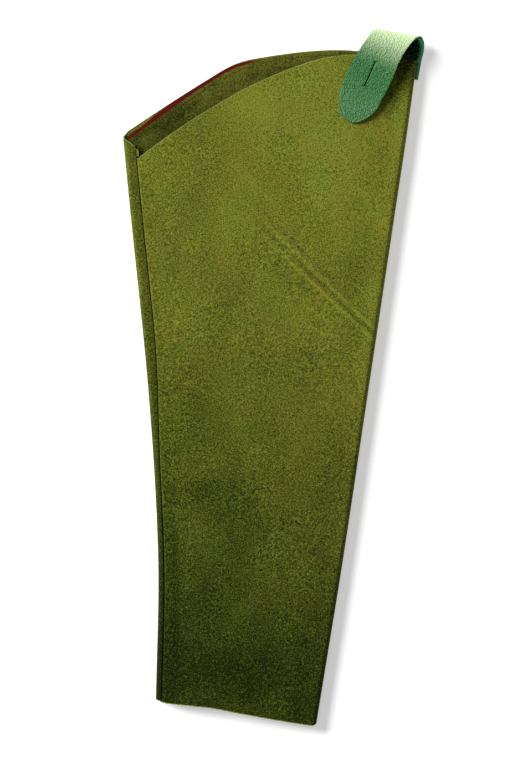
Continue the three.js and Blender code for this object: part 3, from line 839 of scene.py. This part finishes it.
def lining_tone_and_painted_shade(point, shape):
    x, y = point.x, point.y
    soft = noise.fractal(Vector((x * 34, y * 26, 7.0)), 1.0, 2.0, 2, noise_basis="BLENDER")
    folds = sum(crease(x, y, line) for line in LINING_CREASES)
    share = shape.share(x, y)
    painted_shade_under_edge = 1 - smoothstep(y - shape.near_top(share), -0.004, 0.022)
    painted_shade_under_edge *= 1 - 0.6 * smoothstep(share, 0.3, 0.6)
    # painted darker than the outer leather, partly its own tone and partly shade; painted shade in its
    # creases and under the near edge
    return tone_and_painted_tab_shadow(point) - 0.62 + 0.26 * soft - 0.5 * folds - 0.42 * painted_shade_under_edge


def shell_tone_and_painted_shade(point, shape):
    """The outer leather's painted tone and the belt tab's painted shadow, with painted shade on the strip
    beside the inseam's groove.
    """
    strip = 1 - smoothstep(point.x - shape.groove(point.y), -0.001, 0.001)
    return tone_and_painted_tab_shadow(point) - (0.5 * strip if point.z > SHELL_HIGH.z / 4 else 0)


# ---------------------------------------------------------------- pad outline and lap


class Pad:
    """Where the protection layers and linings lie inside the far side."""

    side_inset, hem_inset, top_inset = 6.5 * MM, 14 * MM, 4.5 * MM
    lining_step = 4 * MM
    notch_room = TAB_ROOM + TAB_RAMP + 4 * MM
    notch_depth = 52.5 * MM
    notch_slant = 8 * MM
    lap_angle = math.radians(-43.7)
    lap_width = 16 * MM
    lap_drop = 237 * MM
    lap_ramp = 6 * MM

    def __init__(self, shape, sizes):
        self.shape = shape
        self.lap_lift = sizes.lining_thickness + CLEARANCE
        self.lap_up = Vector((-math.sin(self.lap_angle), math.cos(self.lap_angle)))
        self.lap_along = Vector((math.cos(self.lap_angle), math.sin(self.lap_angle)))
        self.lap_origin = Vector((
            shape.middle(shape.length) + shape.shift, shape.hem_y + shape.length - self.lap_drop,
        ))
        self.notch_floor = shape.on_edge(shape.far_top, self.notch_side, SHELL_HIGH.y) - self.notch_depth

    def notch_side(self, y):
        return self.shape.outseam(y) - self.notch_room

    def layer_inset(self, share):
        """How far the layers stop below the leather's edge: most by the inseam's fold."""
        near_fold = mix(6.2, 0.6, smoothstep(share, 0.02, 0.2))
        return (near_fold + 1.9 * smoothstep(share, 0.42, 0.56)) * MM

    def lining_inset(self, share):
        """The lining stops below the layers, whose edges show as a stripe that dies out."""
        edge = self.top_inset - 2.2 * MM * smoothstep(share, 0.12, 0.4)
        step = self.lining_step * mix(1.75, 0.9, smoothstep(share, 0, 0.3))
        return edge + step * (1 - smoothstep(share, 0.5, 0.64))

    def line(self, share, side_inset=side_inset):
        """A line along the pad: share 0 to 1 from the inseam to the notch, 1 to 2 beyond it."""
        left = lambda y: self.shape.inseam(y) + side_inset
        right = lambda y: self.shape.outseam(y) - side_inset
        if share <= 1:
            return lambda y: mix(left(y), self.notch_side(y), share)
        return lambda y: mix(self.notch_side(y) + CLEARANCE, right(y), share - 1)

    def column(self, share, top_inset):
        """A line's x(y), and the heights that it runs between."""
        x = self.line(share)
        low = self.shape.on_edge(self.shape.hem, x, SHELL_LOW.y) + self.hem_inset
        if share <= 1:
            high = self.shape.on_edge(self.shape.far_top, x, SHELL_HIGH.y) - top_inset(share)
        else:
            high = self.notch_floor - self.notch_slant * (share - 1)
        return x, low, high

    def above_lap(self, x, y):
        return (Vector((x, y)) - self.lap_origin).dot(self.lap_up)

    def over_lap(self, x, y):
        """How far the upper lining is lifted where it lies on the lower one."""
        up = self.above_lap(x, y)
        past = smoothstep(up, self.lap_width / 2 + 1 * MM, self.lap_width / 2 + 1 * MM + self.lap_ramp)
        return self.lap_lift * (1 - past)

    def wrinkle(self, x, y):
        """Soft waves in the lining near the open top, which never dip into the layers."""
        below_top = self.shape.far_top(self.shape.share(x, y)) - y
        open_part = 1 - smoothstep(below_top, 0.02, 0.11)
        wave = noise.fractal(Vector((x * 26, y * 20, 9.0)), 1.0, 2.0, 2, noise_basis="BLENDER")
        folds = sum(crease(x, y, line) for line in LINING_CREASES)
        return open_part * max(0, 0.0012 + 0.0016 * wave - 0.0012 * folds)


PAD_SHARES = [k / 60 for k in range(61)] + [1 + k / 10 for k in range(11)]
PAD_ROWS = 96


def pad_sheet(pad, height, top_inset):
    """A sheet over the pad's outline, as a grid whose height at x, y is height(x, y)."""
    columns = [pad.column(share, top_inset) for share in PAD_SHARES]

    def place(i, j):
        x, low, high = columns[i]
        y = mix(low, high, row_share(j, PAD_ROWS))
        return Vector((x(y), y, height(x(y), y)))

    return grid_mesh(len(columns), PAD_ROWS, place)


def cut_sheet(mesh, pad, up, keep_above):
    """Cuts a sheet along a line that runs beside the lap's middle line."""
    point = pad.lap_origin + pad.lap_up * up
    bmesh.ops.bisect_plane(
        mesh, geom=mesh.verts[:] + mesh.edges[:] + mesh.faces[:], plane_co=(*point, 0),
        plane_no=(*pad.lap_up, 0), clear_inner=keep_above, clear_outer=not keep_above,
    )


# ---------------------------------------------------------------- stitches


def walk(points, pitch):
    """Evenly spaced [place, direction] along a line of points."""
    stops = []
    left_over = pitch / 2
    for a, b in zip(points, points[1:]):
        run = (b - a).length
        if run < 1e-6:
            continue
        direction = (b - a) / run
        while left_over <= run:
            stops.append((a + direction * left_over, direction))
            left_over += pitch
        left_over -= run
    return stops


def add_stitches(mesh, points, pitch, radius, height):
    """A row of short stitches on a surface whose height at x, y is height(x, y)."""
    stops = walk(points, pitch)
    for start in range(0, len(stops), 24):
        few = bmesh.new()
        sew(few, stops[start:start + 24], pitch, radius, height)
        scrap = bpy.data.meshes.new("stitches")
        few.to_mesh(scrap)
        few.free()
        mesh.from_mesh(scrap)
        bpy.data.meshes.remove(scrap)


def sew(mesh, stops, pitch, radius, height):
    for place, direction in stops:
        across = Vector((-direction.y, direction.x, 0))
        turn = Matrix((
            (direction.x, across.x, 0, place.x),
            (direction.y, across.y, 0, place.y),
            (0, 0, 1, height(place.x, place.y)),
            (0, 0, 0, 1),
        ))
        size = Matrix.Diagonal((pitch * 0.4, radius, radius * 0.8, 1))
        roll = Matrix.Rotation(math.pi / 2, 4, "Y")
        bmesh.ops.create_uvsphere(mesh, u_segments=6, v_segments=4, radius=1, matrix=turn @ size @ roll)


STITCH_INSET = 5 * MM
TOP_ROW_SHARE = 0.98  # the top row stops just short of the notch for the tab
ROW_SHARES = [k / 60 for k in range(61)]


def pad_stitch_lines(pad):
    """The four rows round the pad, a little inside the lining's edge."""
    shape, side = pad.shape, pad.side_inset + STITCH_INSET
    left, right = pad.line(0, side), pad.line(2, side)

    def hem(x):
        return shape.on_edge(shape.hem, x, SHELL_LOW.y) + pad.hem_inset + STITCH_INSET

    def top(x, share):
        return shape.on_edge(shape.far_top, x, SHELL_HIGH.y) - pad.lining_inset(share) - STITCH_INSET

    def side_row(x, high):
        return [(x(y), y) for y in (mix(hem(x), high, share) for share in ROW_SHARES)]

    top_row, hem_row = [], []
    for share in ROW_SHARES:
        x = pad.line(TOP_ROW_SHARE * share, side)
        y = top(x, TOP_ROW_SHARE * share)
        top_row.append((x(y), y))
        x = lambda y, share=share: mix(left(y), right(y), share)
        y = hem(x)
        hem_row.append((x(y), y))
    notch_row_end = pad.notch_floor - pad.notch_slant - STITCH_INSET
    rows = (side_row(left, top(left, 0)), top_row, side_row(right, notch_row_end), hem_row)
    return [[Vector(point) for point in row] for row in rows]


LAP_ROW_OFFSET = 5.5 * MM
LAP_ROW_STEP = 2 * MM
LAP_ROW_SIDE_GAP = 20 * MM
LAP_ROW_TOP_GAP = 26 * MM


def lap_stitch_lines(pad):
    """The two rows that hold the lap, from side to side of the lining."""
    shape = pad.shape
    rows = []
    for up in (LAP_ROW_OFFSET, -LAP_ROW_OFFSET):
        row = []
        for k in range(-250, 250):
            point = pad.lap_origin + pad.lap_up * up + pad.lap_along * k * LAP_ROW_STEP
            left, right = shape.inseam(point.y), shape.outseam(point.y)
            inside = left + LAP_ROW_SIDE_GAP < point.x < right - LAP_ROW_SIDE_GAP
            if inside and shape.far_top(shape.share(*point)) - point.y > LAP_ROW_TOP_GAP:
                row.append(point)
        rows.append(row)
    return rows


# ---------------------------------------------------------------- belt tab

# The strap from its riveted end to its tip, from the hip corner in millimetres: inner edge
# x, y, outer edge x, y, and its height as a share of the way up to the near side
TAB_ROWS = (
    (-53.0, -20.1, 1.2, -26.9, 0),
    (-51.0, -6.4, 3.7, -13.6, 0),
    (-49.0, 7.4, 6.2, -0.2, 0),
    (-49.0, 20.5, 8.8, 11.3, 0.1),
    (-50.4, 31.2, 8.8, 21.3, 0.38),
    (-54.0, 37.2, 4.8, 27.3, 0.76),
    (-58.6, 35.2, -2.6, 24.9, 1.16),
    (-66.0, 25.5, -11.3, 15.8, 1.33),
    (-78.8, 6.0, -23.8, -4.7, 1.3),
    (-91.5, -18.9, -34.2, -30.7, 1.2),
    (-100.4, -43.8, -45.9, -52.7, 1.1),
    (-101.8, -58.7, -51.8, -64.2, 1.05),
    (-100.0, -72.5, -58.8, -72.7, 1.02),
    (-93.2, -79.6, -69.3, -79.9, 1),
    (-84.9, -83.2, -77.9, -83.2, 1),
)
TAB_LOW = 1.5 * MM
TAB_HIGH = 21.3 * MM
TAB_SLIT = (8.2, 9.48)  # its ends, in rows of the strap
TAB_SLIT_MIDDLE = 0.485
TAB_SLIT_HALF_WIDTH = 0.015
TAB_NICK = 0.045  # the short cut across each end of the slit, as a share of the width
TAB_CUT = 0.035  # its width, in rows


def centripetal(points, place):
    """The point at a place, in rows, on a smooth curve through the points."""
    last = len(points) - 1
    i = min(int(place), last - 1)
    t = place - i
    p1, p2 = points[i], points[i + 1]
    p0 = points[i - 1] if i > 0 else 2 * p1 - p2
    p3 = points[i + 2] if i + 2 <= last else 2 * p2 - p1
    d0, d1, d2 = (max((b - a).length, 1e-6) ** 0.5 for a, b in ((p0, p1), (p1, p2), (p2, p3)))
    out = ((p1 - p0) / d0 - (p2 - p0) / (d0 + d1) + (p2 - p1) / d1) * d1
    into = ((p2 - p1) / d1 - (p3 - p1) / (d1 + d2) + (p3 - p2) / d2) * d1
    return (
        p1 * (2 * t**3 - 3 * t**2 + 1) + out * (t**3 - 2 * t**2 + t)
        + p2 * (3 * t**2 - 2 * t**3) + into * (t**3 - t**2)
    )


def spread(*stops):
    """Numbers from stop to stop, each stretch in so many steps: (start, (end, steps), ...)."""
    values = [stops[0]]
    for end, steps in stops[1:]:
        start = values[-1]
        values += [mix(start, end, (k + 1) / steps) for k in range(steps)]
    return values


def hip_corner(shape):
    y = shape.far_top(1)
    return Vector((shape.outseam(y), y))


def tab_edges(shape):
    """The points through which the strap's inner and outer edges run."""
    corner = hip_corner(shape)
    edges = []
    for first in (0, 2):
        points = []
        for row in TAB_ROWS:
            z = mix(TAB_LOW, TAB_HIGH, row[4])
            points.append(Vector((corner.x + row[first] * MM, corner.y + row[first + 1] * MM, z)))
        edges.append(points)
    return edges


def tab_mesh(shape):
    edges = tab_edges(shape)
    low, high = TAB_SLIT_MIDDLE - TAB_SLIT_HALF_WIDTH, TAB_SLIT_MIDDLE + TAB_SLIT_HALF_WIDTH
    across = spread(0.0, (low - TAB_NICK, 10), (low, 1), (high, 1), (high + TAB_NICK, 1), (1.0, 11))
    along = spread(0.0, (3.0, 12), (TAB_SLIT[0], 40), (TAB_SLIT[0] + TAB_CUT, 1),
                   (TAB_SLIT[1] - TAB_CUT, 12), (TAB_SLIT[1], 1), (14.0, 40))
    slit_column = across.index(high) - 1
    slit_ends = (along.index(TAB_SLIT[0]), along.index(TAB_SLIT[1]) - 1)

    def place(i, j):
        inner, outer = (centripetal(points, along[j]) for points in edges)
        point = inner.lerp(outer, across[i])
        point.z = max(point.z, TAB_LOW)
        return point

    def slit(i, j):
        if j in slit_ends:
            return abs(i - slit_column) <= 1
        return i == slit_column and slit_ends[0] < j < slit_ends[1]

    return grid_mesh(len(across), len(along), place, slit)


def flesh_painted_light_and_shadow(shape):
    """The flesh side's painted light and shade: a painted shadow inside the loop and a painted lit band
    along the outer edge.
    """
    outer = tab_edges(shape)[1]
    edge = [centripetal(outer, k / 8) for k in range(8 * (len(outer) - 1) + 1)]

    def shade(point):
        away = min((point - place).length for place in edge)
        return mix(2.0, -1.2, smoothstep(away, 3 * MM, 7 * MM))

    return shade


def painted_highlight_share(point):
    """1 where a painted highlight lies on the strap's curl, falling to 0, its plain tone, beside the slit,
    with a faint rise to the tip.
    """
    pivot = Vector(JOINT["pos_m"])
    down = Vector((-0.4, -0.916))
    run = (Vector((point.x, point.y)) - pivot.xy).dot(down)
    top = smoothstep(point.z, 0.008, 0.02)
    return top * (1 - smoothstep(run, -0.005, 0.058)) + 0.06 * smoothstep(run, 0.065, 0.105)


# ---------------------------------------------------------------- operators


def mark_raw_edges(mesh, section, reach):
    """Gives the near side's open edge, as far as the tab, and the tongue's edge their material."""
    for face in mesh.faces:
        on_rim = sum(vert.is_boundary for vert in face.verts) == 2
        low_end = min(vert.co.z for vert in face.verts)
        near_side = low_end > section.fold_top - 1 * MM
        raw_edge = on_rim and near_side and face.verts[0].co.x < reach
        above_seam = min(vert.co.y for vert in face.verts) > section.seam_top
        from_seam = abs(face.calc_center_median().x - section.seam_fold(section.seam_top))
        tongue = above_seam and low_end > 10 * MM and from_seam < 1.2 * MM
        if raw_edge or tongue:
            face.material_index = 1


class CHAP_OT_outer_leather(Operator):
    """Builds the outer leather: one sheet folded into a flat tube, with its inseam"""

    bl_idname = "chap.outer_leather"
    bl_label = "Outer Leather"

    def execute(self, context):
        sizes, finish = context.scene.chap_pattern, context.scene.chap_finish
        shape = outline()
        section = Section(shape, sizes)
        rows = context.scene.chap_stage.rows
        tab_middle = hip_corner(shape) + Vector((-0.06, -0.03))

        def place(i, j):
            column = section.columns[i]
            ragged = 0.0004 * noise.noise(Vector((i * 0.9, 0.3 + (j > rows / 2), 1.0)))
            y = row_height(j, rows, column.bottom + ragged, column.top - abs(ragged), 1.1 * MM)
            x = column.x(y)
            z = column.z
            if column.lift:
                below = column.top - y
                near_top = 1 - smoothstep(below, TAB_OVERLAP, TAB_OVERLAP + TAB_RAMP)
                drop = (section.fold_top - column.z) / (section.fold_top - section.half)
                z += column.lift * near_top * section.tab_lift * min(max(drop, 0), 1)
            z += column.stand * smoothstep(y, section.seam_top + 0.3 * MM, section.seam_top + 4 * MM)
            if column.relief:
                sides = smoothstep(x - shape.groove(y), 0.002, 0.02)
                sides *= smoothstep(shape.outseam(y) - x, 0.006, 0.024)
                under_tab = 1 - hill(x, y, tab_middle, 0.06, 0.07)
                z += relief(x, y) * sides * max(under_tab, 0) ** 2
            return Vector((x, y, z))

        mesh = grid_mesh(len(section.columns), rows, place)
        # the pale cut edge stops short of the tab, so the rim under it takes the painted tab shadow
        mark_raw_edges(mesh, section, tab_middle.x + 0.02)
        looks = [
            suede_material("outer leather", finish.suede, finish.suede_dark, finish.suede_warm,
                           ridges=RIDGES + CHANNELS),
            edge_material("leather edge", finish.cut_edge),
        ]
        shell = piece_from(mesh, "outer_leather", looks)
        thicken(shell, sizes.shell_thickness)
        smooth_faces(shell)
        # painted tone, painted shade on the strip and the belt tab's painted shadow
        paint(shell, "nap", lambda point: shell_tone_and_painted_shade(point, shape))
        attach(shell, LEG)
        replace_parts(shell, "outer_shell")
        flat_area(shape, 2, 0.045)
        return {"FINISHED"}


CURVES_LEAVE = 0.93  # the share of the strips' area that the curved waist and hem leave


def flat_area(shape, sides, extra):
    """The cut's flat area, from strips so many times the leg's width and an extra width wide."""
    steps = 40
    area = 0
    for k in range(steps):
        y = shape.hem_y + shape.length * (k + 0.5) / steps
        area += (sides * shape.width(y - shape.hem_y) + extra) * shape.length / steps
    return area * CURVES_LEAVE


class CHAP_OT_protection_layers(Operator):
    """Builds the cut-protection layers, which lie on the far side under the lining"""

    bl_idname = "chap.protection_layers"
    bl_label = "Protection Layers"

    def execute(self, context):
        sizes, finish = context.scene.chap_pattern, context.scene.chap_finish
        shape = outline()
        pad = Pad(shape, sizes)
        look = knit_material("protection knit", finish.layers)
        cut_length = shape.length - pad.hem_inset - pad.layer_inset(0.3)
        for number, node in enumerate(LAYER_NODES):
            low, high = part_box(node)
            middle = (low.z + high.z) / 2

            def inset(share, number=number):
                wave = noise.noise(Vector((share * 22, number * 3.1, 0.5)))
                return max(pad.layer_inset(share) + 0.4 * MM * number * (0.4 + wave), 0.4 * MM)

            mesh = pad_sheet(pad, lambda x, y: middle, inset)
            layer = piece_from(mesh, f"knit_layer_{number + 1}", [look, look])
            thicken(layer, sizes.layer_thickness)
            smooth_faces(layer)
            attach(layer, LEG)
            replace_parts(layer, node)
            flat_area(shape, 1, -2 * pad.side_inset)
        return {"FINISHED"}


class CHAP_OT_linings(Operator):
    """Builds the leather lining: two pieces that overlap along a slanting lap"""

    bl_idname = "chap.linings"
    bl_label = "Linings"

    def execute(self, context):
        sizes, finish = context.scene.chap_pattern, context.scene.chap_finish
        shape = outline()
        pad = Pad(shape, sizes)
        middle = (LINING_LOW.z + LINING_HIGH.z) / 2
        looks = [
            suede_material("lining leather", finish.lining, finish.suede_dark, finish.suede_warm, 600, 1.3),
            edge_material("lining edge", finish.lining),
        ]

        def lower_height(x, y):
            return middle + pad.wrinkle(x, y)

        def upper_height(x, y):
            return middle + pad.wrinkle(x, y) + pad.over_lap(x, y)

        halves = (
            ("lower_lining", "lining_lower", lower_height, pad.lap_width / 2, False),
            ("upper_lining", "lining_upper", upper_height, -pad.lap_width / 2, True),
        )
        for name, node, height, up, keep_above in halves:
            mesh = pad_sheet(pad, height, pad.lining_inset)
            cut_sheet(mesh, pad, up, keep_above)
            lining = piece_from(mesh, name, looks)
            thicken(lining, sizes.lining_thickness)
            smooth_faces(lining)
            paint(lining, "nap", lambda point: lining_tone_and_painted_shade(point, shape))
            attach(lining, LEG)
            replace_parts(lining, node)
            low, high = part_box(node)
        return {"FINISHED"}


STITCH_LIFT = 0.1 * MM
OUTER_STITCH_HEIGHT = 0.12 * MM


class CHAP_OT_stitches(Operator):
    """Sews the lap and the pad: rows of stitches on the lining and on the outer face"""

    bl_idname = "chap.stitches"
    bl_label = "Stitches"

    def execute(self, context):
        sizes, finish = context.scene.chap_pattern, context.scene.chap_finish
        pad = Pad(outline(), sizes)
        look = thread_material("sewing thread", finish.thread)
        radius, pitch = sizes.stitch_radius, sizes.stitch_pitch
        face = LINING_HIGH.z + STITCH_LIFT

        def on_lining(x, y):
            lift = pad.over_lap(x, y) if pad.above_lap(x, y) > -pad.lap_width / 2 else 0
            return face + pad.wrinkle(x, y) + lift

        def on_outer_face(x, y):
            return OUTER_STITCH_HEIGHT

        rows = (
            ("pad_stitches", pad_stitch_lines(pad), "pad_thread"),
            ("lap_stitches", lap_stitch_lines(pad), "lap_thread"),
        )
        for name, lines, start in rows:
            mesh = bmesh.new()
            for line in lines:
                add_stitches(mesh, line, pitch, radius, on_lining)
                add_stitches(mesh, line, pitch, radius * 0.8, on_outer_face)
            stitches = piece_from(mesh, name, [look])
            smooth_faces(stitches, 180)
            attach(stitches, LEG)
            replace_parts(stitches, *[node for node in frame["nodes"] if node.startswith(start)])
        seam = frame["nodes"]["inseam_thread"]
        seam.data.materials.clear()
        seam.data.materials.append(look)
        return {"FINISHED"}


class CHAP_OT_belt_tab(Operator):
    """Builds the belt tab: a thick strap under the hip corner that curls over onto the near side"""

    bl_idname = "chap.belt_tab"
    bl_label = "Belt Tab"

    def execute(self, context):
        sizes, finish = context.scene.chap_pattern, context.scene.chap_finish
        looks = [
            suede_material("belt tab flesh side", finish.tab_flesh, [c * 0.03 for c in finish.tab_flesh],
                           finish.tab_flesh),
            edge_material("belt tab edge", finish.tab_edge),
            jade_material("belt tab leather", finish.tab, finish.tab_highlight_and_specks),
        ]
        tab = piece_from(tab_mesh(outline()), "belt_tab", looks)
        thicken(tab, sizes.tab_thickness, bevel=0.5 * MM, back=2)
        smooth_faces(tab, 50)
        # a painted highlight on the strap's curl
        paint(tab, "bend", painted_highlight_share)
        # painted shadow inside the loop and a painted lit band along the strap's outer edge
        paint(tab, "nap", flesh_painted_light_and_shadow(outline()))
        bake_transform(tab)
        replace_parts(tab, "belt_tab_base", "belt_tab_flap")
        return {"FINISHED"}


def turned(name, profile, place, material):
    """A turned metal piece: a profile of [radius, height] spun round a standing axis."""
    mesh = bmesh.new()
    verts = [mesh.verts.new((place.x + radius, place.y, height)) for radius, height in profile]
    edges = [mesh.edges.new(pair) for pair in zip(verts, verts[1:])]
    bmesh.ops.spin(
        mesh, geom=verts + edges, cent=(place.x, place.y, 0), axis=(0, 0, 1), dvec=(0, 0, 0),
        angle=2 * math.pi, steps=28, use_merge=True, use_duplicate=False,
    )
    bmesh.ops.remove_doubles(mesh, verts=mesh.verts, dist=1e-6)
    bmesh.ops.recalc_face_normals(mesh, faces=mesh.faces)
    piece = piece_from(mesh, name, [material])
    smooth_faces(piece, 35)
    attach(piece, LEG)
    return piece


class CHAP_OT_rivets(Operator):
    """Sets the rivets and burrs that hold the belt tab under the hip corner"""

    bl_idname = "chap.rivets"
    bl_label = "Rivets"

    def execute(self, context):
        look = steel_material("rivet steel", context.scene.chap_finish.steel)
        shank, head, peened = 2 * MM, 4.5 * MM, 3.2 * MM
        for number, (rivet, burr) in enumerate(zip(RIVET_NODES, BURR_NODES), 1):
            low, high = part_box(rivet)
            burr_low, burr_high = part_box(burr)
            middle = (low + high) / 2
            neck = low.z + 0.9 * MM
            dome = [(head * math.cos(a), neck - 0.85 * MM * math.sin(a)) for a in
                    (math.radians(90 - 15 * k) for k in range(7))]
            profile = [(max(radius, 0), height) for radius, height in dome]
            profile += [(shank, neck), (shank, high.z - 0.8 * MM), (peened, high.z - 0.8 * MM),
                        (peened * 0.95, high.z - 0.4 * MM), (peened * 0.7, high.z - 0.08 * MM),
                        (peened * 0.3, high.z), (0, high.z)]
            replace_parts(turned(f"rivet_{number}", profile, middle, look), rivet)
            bore = shank + 0.1 * MM
            soft = 0.2 * MM
            ring = [
                (bore, burr_low.z), (head - soft, burr_low.z), (head, burr_low.z + soft),
                (head, burr_high.z - soft), (head - soft, burr_high.z), (bore + soft, burr_high.z),
                (bore, burr_high.z - soft), (bore, burr_low.z),
            ]
            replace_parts(turned(f"burr_{number}", ring, middle, look), burr)
        return {"FINISHED"}


def soft_light(name, place, strength, spread_angle):
    """An even light from the direction of a place, seen from the leg's middle."""
    data = bpy.data.lights.new(name, "SUN")
    data.energy = strength
    data.angle = math.radians(spread_angle)
    lamp = bpy.data.objects.new(name, data)
    bpy.context.scene.collection.objects.link(lamp)
    lamp.location = place
    lamp.rotation_euler = (-Vector(place)).to_track_quat("-Z", "Y").to_euler()


VIEW_MIDDLE = (-0.0218, -0.008)  # what the camera looks down at


class CHAP_OT_stage(Operator):
    """Lays the floor and sets the lights and the camera, which looks straight down"""

    bl_idname = "chap.stage"
    bl_label = "Stage"

    def execute(self, context):
        scene, sizes = context.scene, context.scene.chap_stage
        mesh = bmesh.new()
        bmesh.ops.create_grid(mesh, x_segments=1, y_segments=1, size=20)
        floor = piece_from(mesh, "floor", [floor_material("floor", sizes.floor)])
        scene.view_settings.view_transform = "Standard"

        world = bpy.data.worlds.new("studio")
        world.use_nodes = True
        sky = world.node_tree.nodes["Background"]
        sky.inputs["Color"].default_value = (1, 1, 1, 1)
        sky.inputs["Strength"].default_value = 0.1
        scene.world = world
        soft_light("key light", (-1.6, 0.9, 1.0), sizes.key_strength, 30)
        soft_light("overhead light", (0.2, -0.3, 2), sizes.fill_strength, 70)

        data = bpy.data.cameras.new("camera")
        data.lens = sizes.lens
        data.sensor_width = 36
        camera = bpy.data.objects.new("camera", data)
        scene.collection.objects.link(camera)
        away = sizes.view_height * data.lens / data.sensor_width
        camera.location = (*VIEW_MIDDLE, 0.6 * SHELL_HIGH.z + away)
        scene.camera = camera
        return {"FINISHED"}


# ---------------------------------------------------------------- panel and start


PIECES = (
    CHAP_OT_outer_leather,
    CHAP_OT_protection_layers,
    CHAP_OT_linings,
    CHAP_OT_stitches,
    CHAP_OT_belt_tab,
    CHAP_OT_rivets,
    CHAP_OT_stage,
)


class CHAP_PT_panel(Panel):
    """Lists the pieces in the order in which they are made"""

    bl_label = "Chap Leg"
    bl_idname = "CHAP_PT_panel"
    bl_space_type = "VIEW_3D"
    bl_region_type = "UI"
    bl_category = "Chap Leg"

    def draw(self, context):
        for piece in PIECES:
            self.layout.operator(piece.bl_idname)
        for group in ("chap_pattern", "chap_finish", "chap_stage"):
            settings = getattr(context.scene, group)
            box = self.layout.box()
            for name in settings.bl_rna.properties.keys():
                if name not in ("rna_type", "name"):
                    box.prop(settings, name)


CLASSES = (ChapPattern, ChapFinish, ChapStage, *PIECES, CHAP_PT_panel)


def register():
    for cls in CLASSES:
        bpy.utils.register_class(cls)
    bpy.types.Scene.chap_pattern = PointerProperty(type=ChapPattern)
    bpy.types.Scene.chap_finish = PointerProperty(type=ChapFinish)
    bpy.types.Scene.chap_stage = PointerProperty(type=ChapStage)


def unregister():
    del bpy.types.Scene.chap_stage
    del bpy.types.Scene.chap_finish
    del bpy.types.Scene.chap_pattern
    for cls in reversed(CLASSES):
        bpy.utils.unregister_class(cls)


def main():
    register()
    bpy.ops.chap.outer_leather()
    bpy.ops.chap.protection_layers()
    bpy.ops.chap.linings()
    bpy.ops.chap.stitches()
    bpy.ops.chap.belt_tab()
    bpy.ops.chap.rivets()
    bpy.ops.chap.stage()


if __name__ == "__main__":
    main()
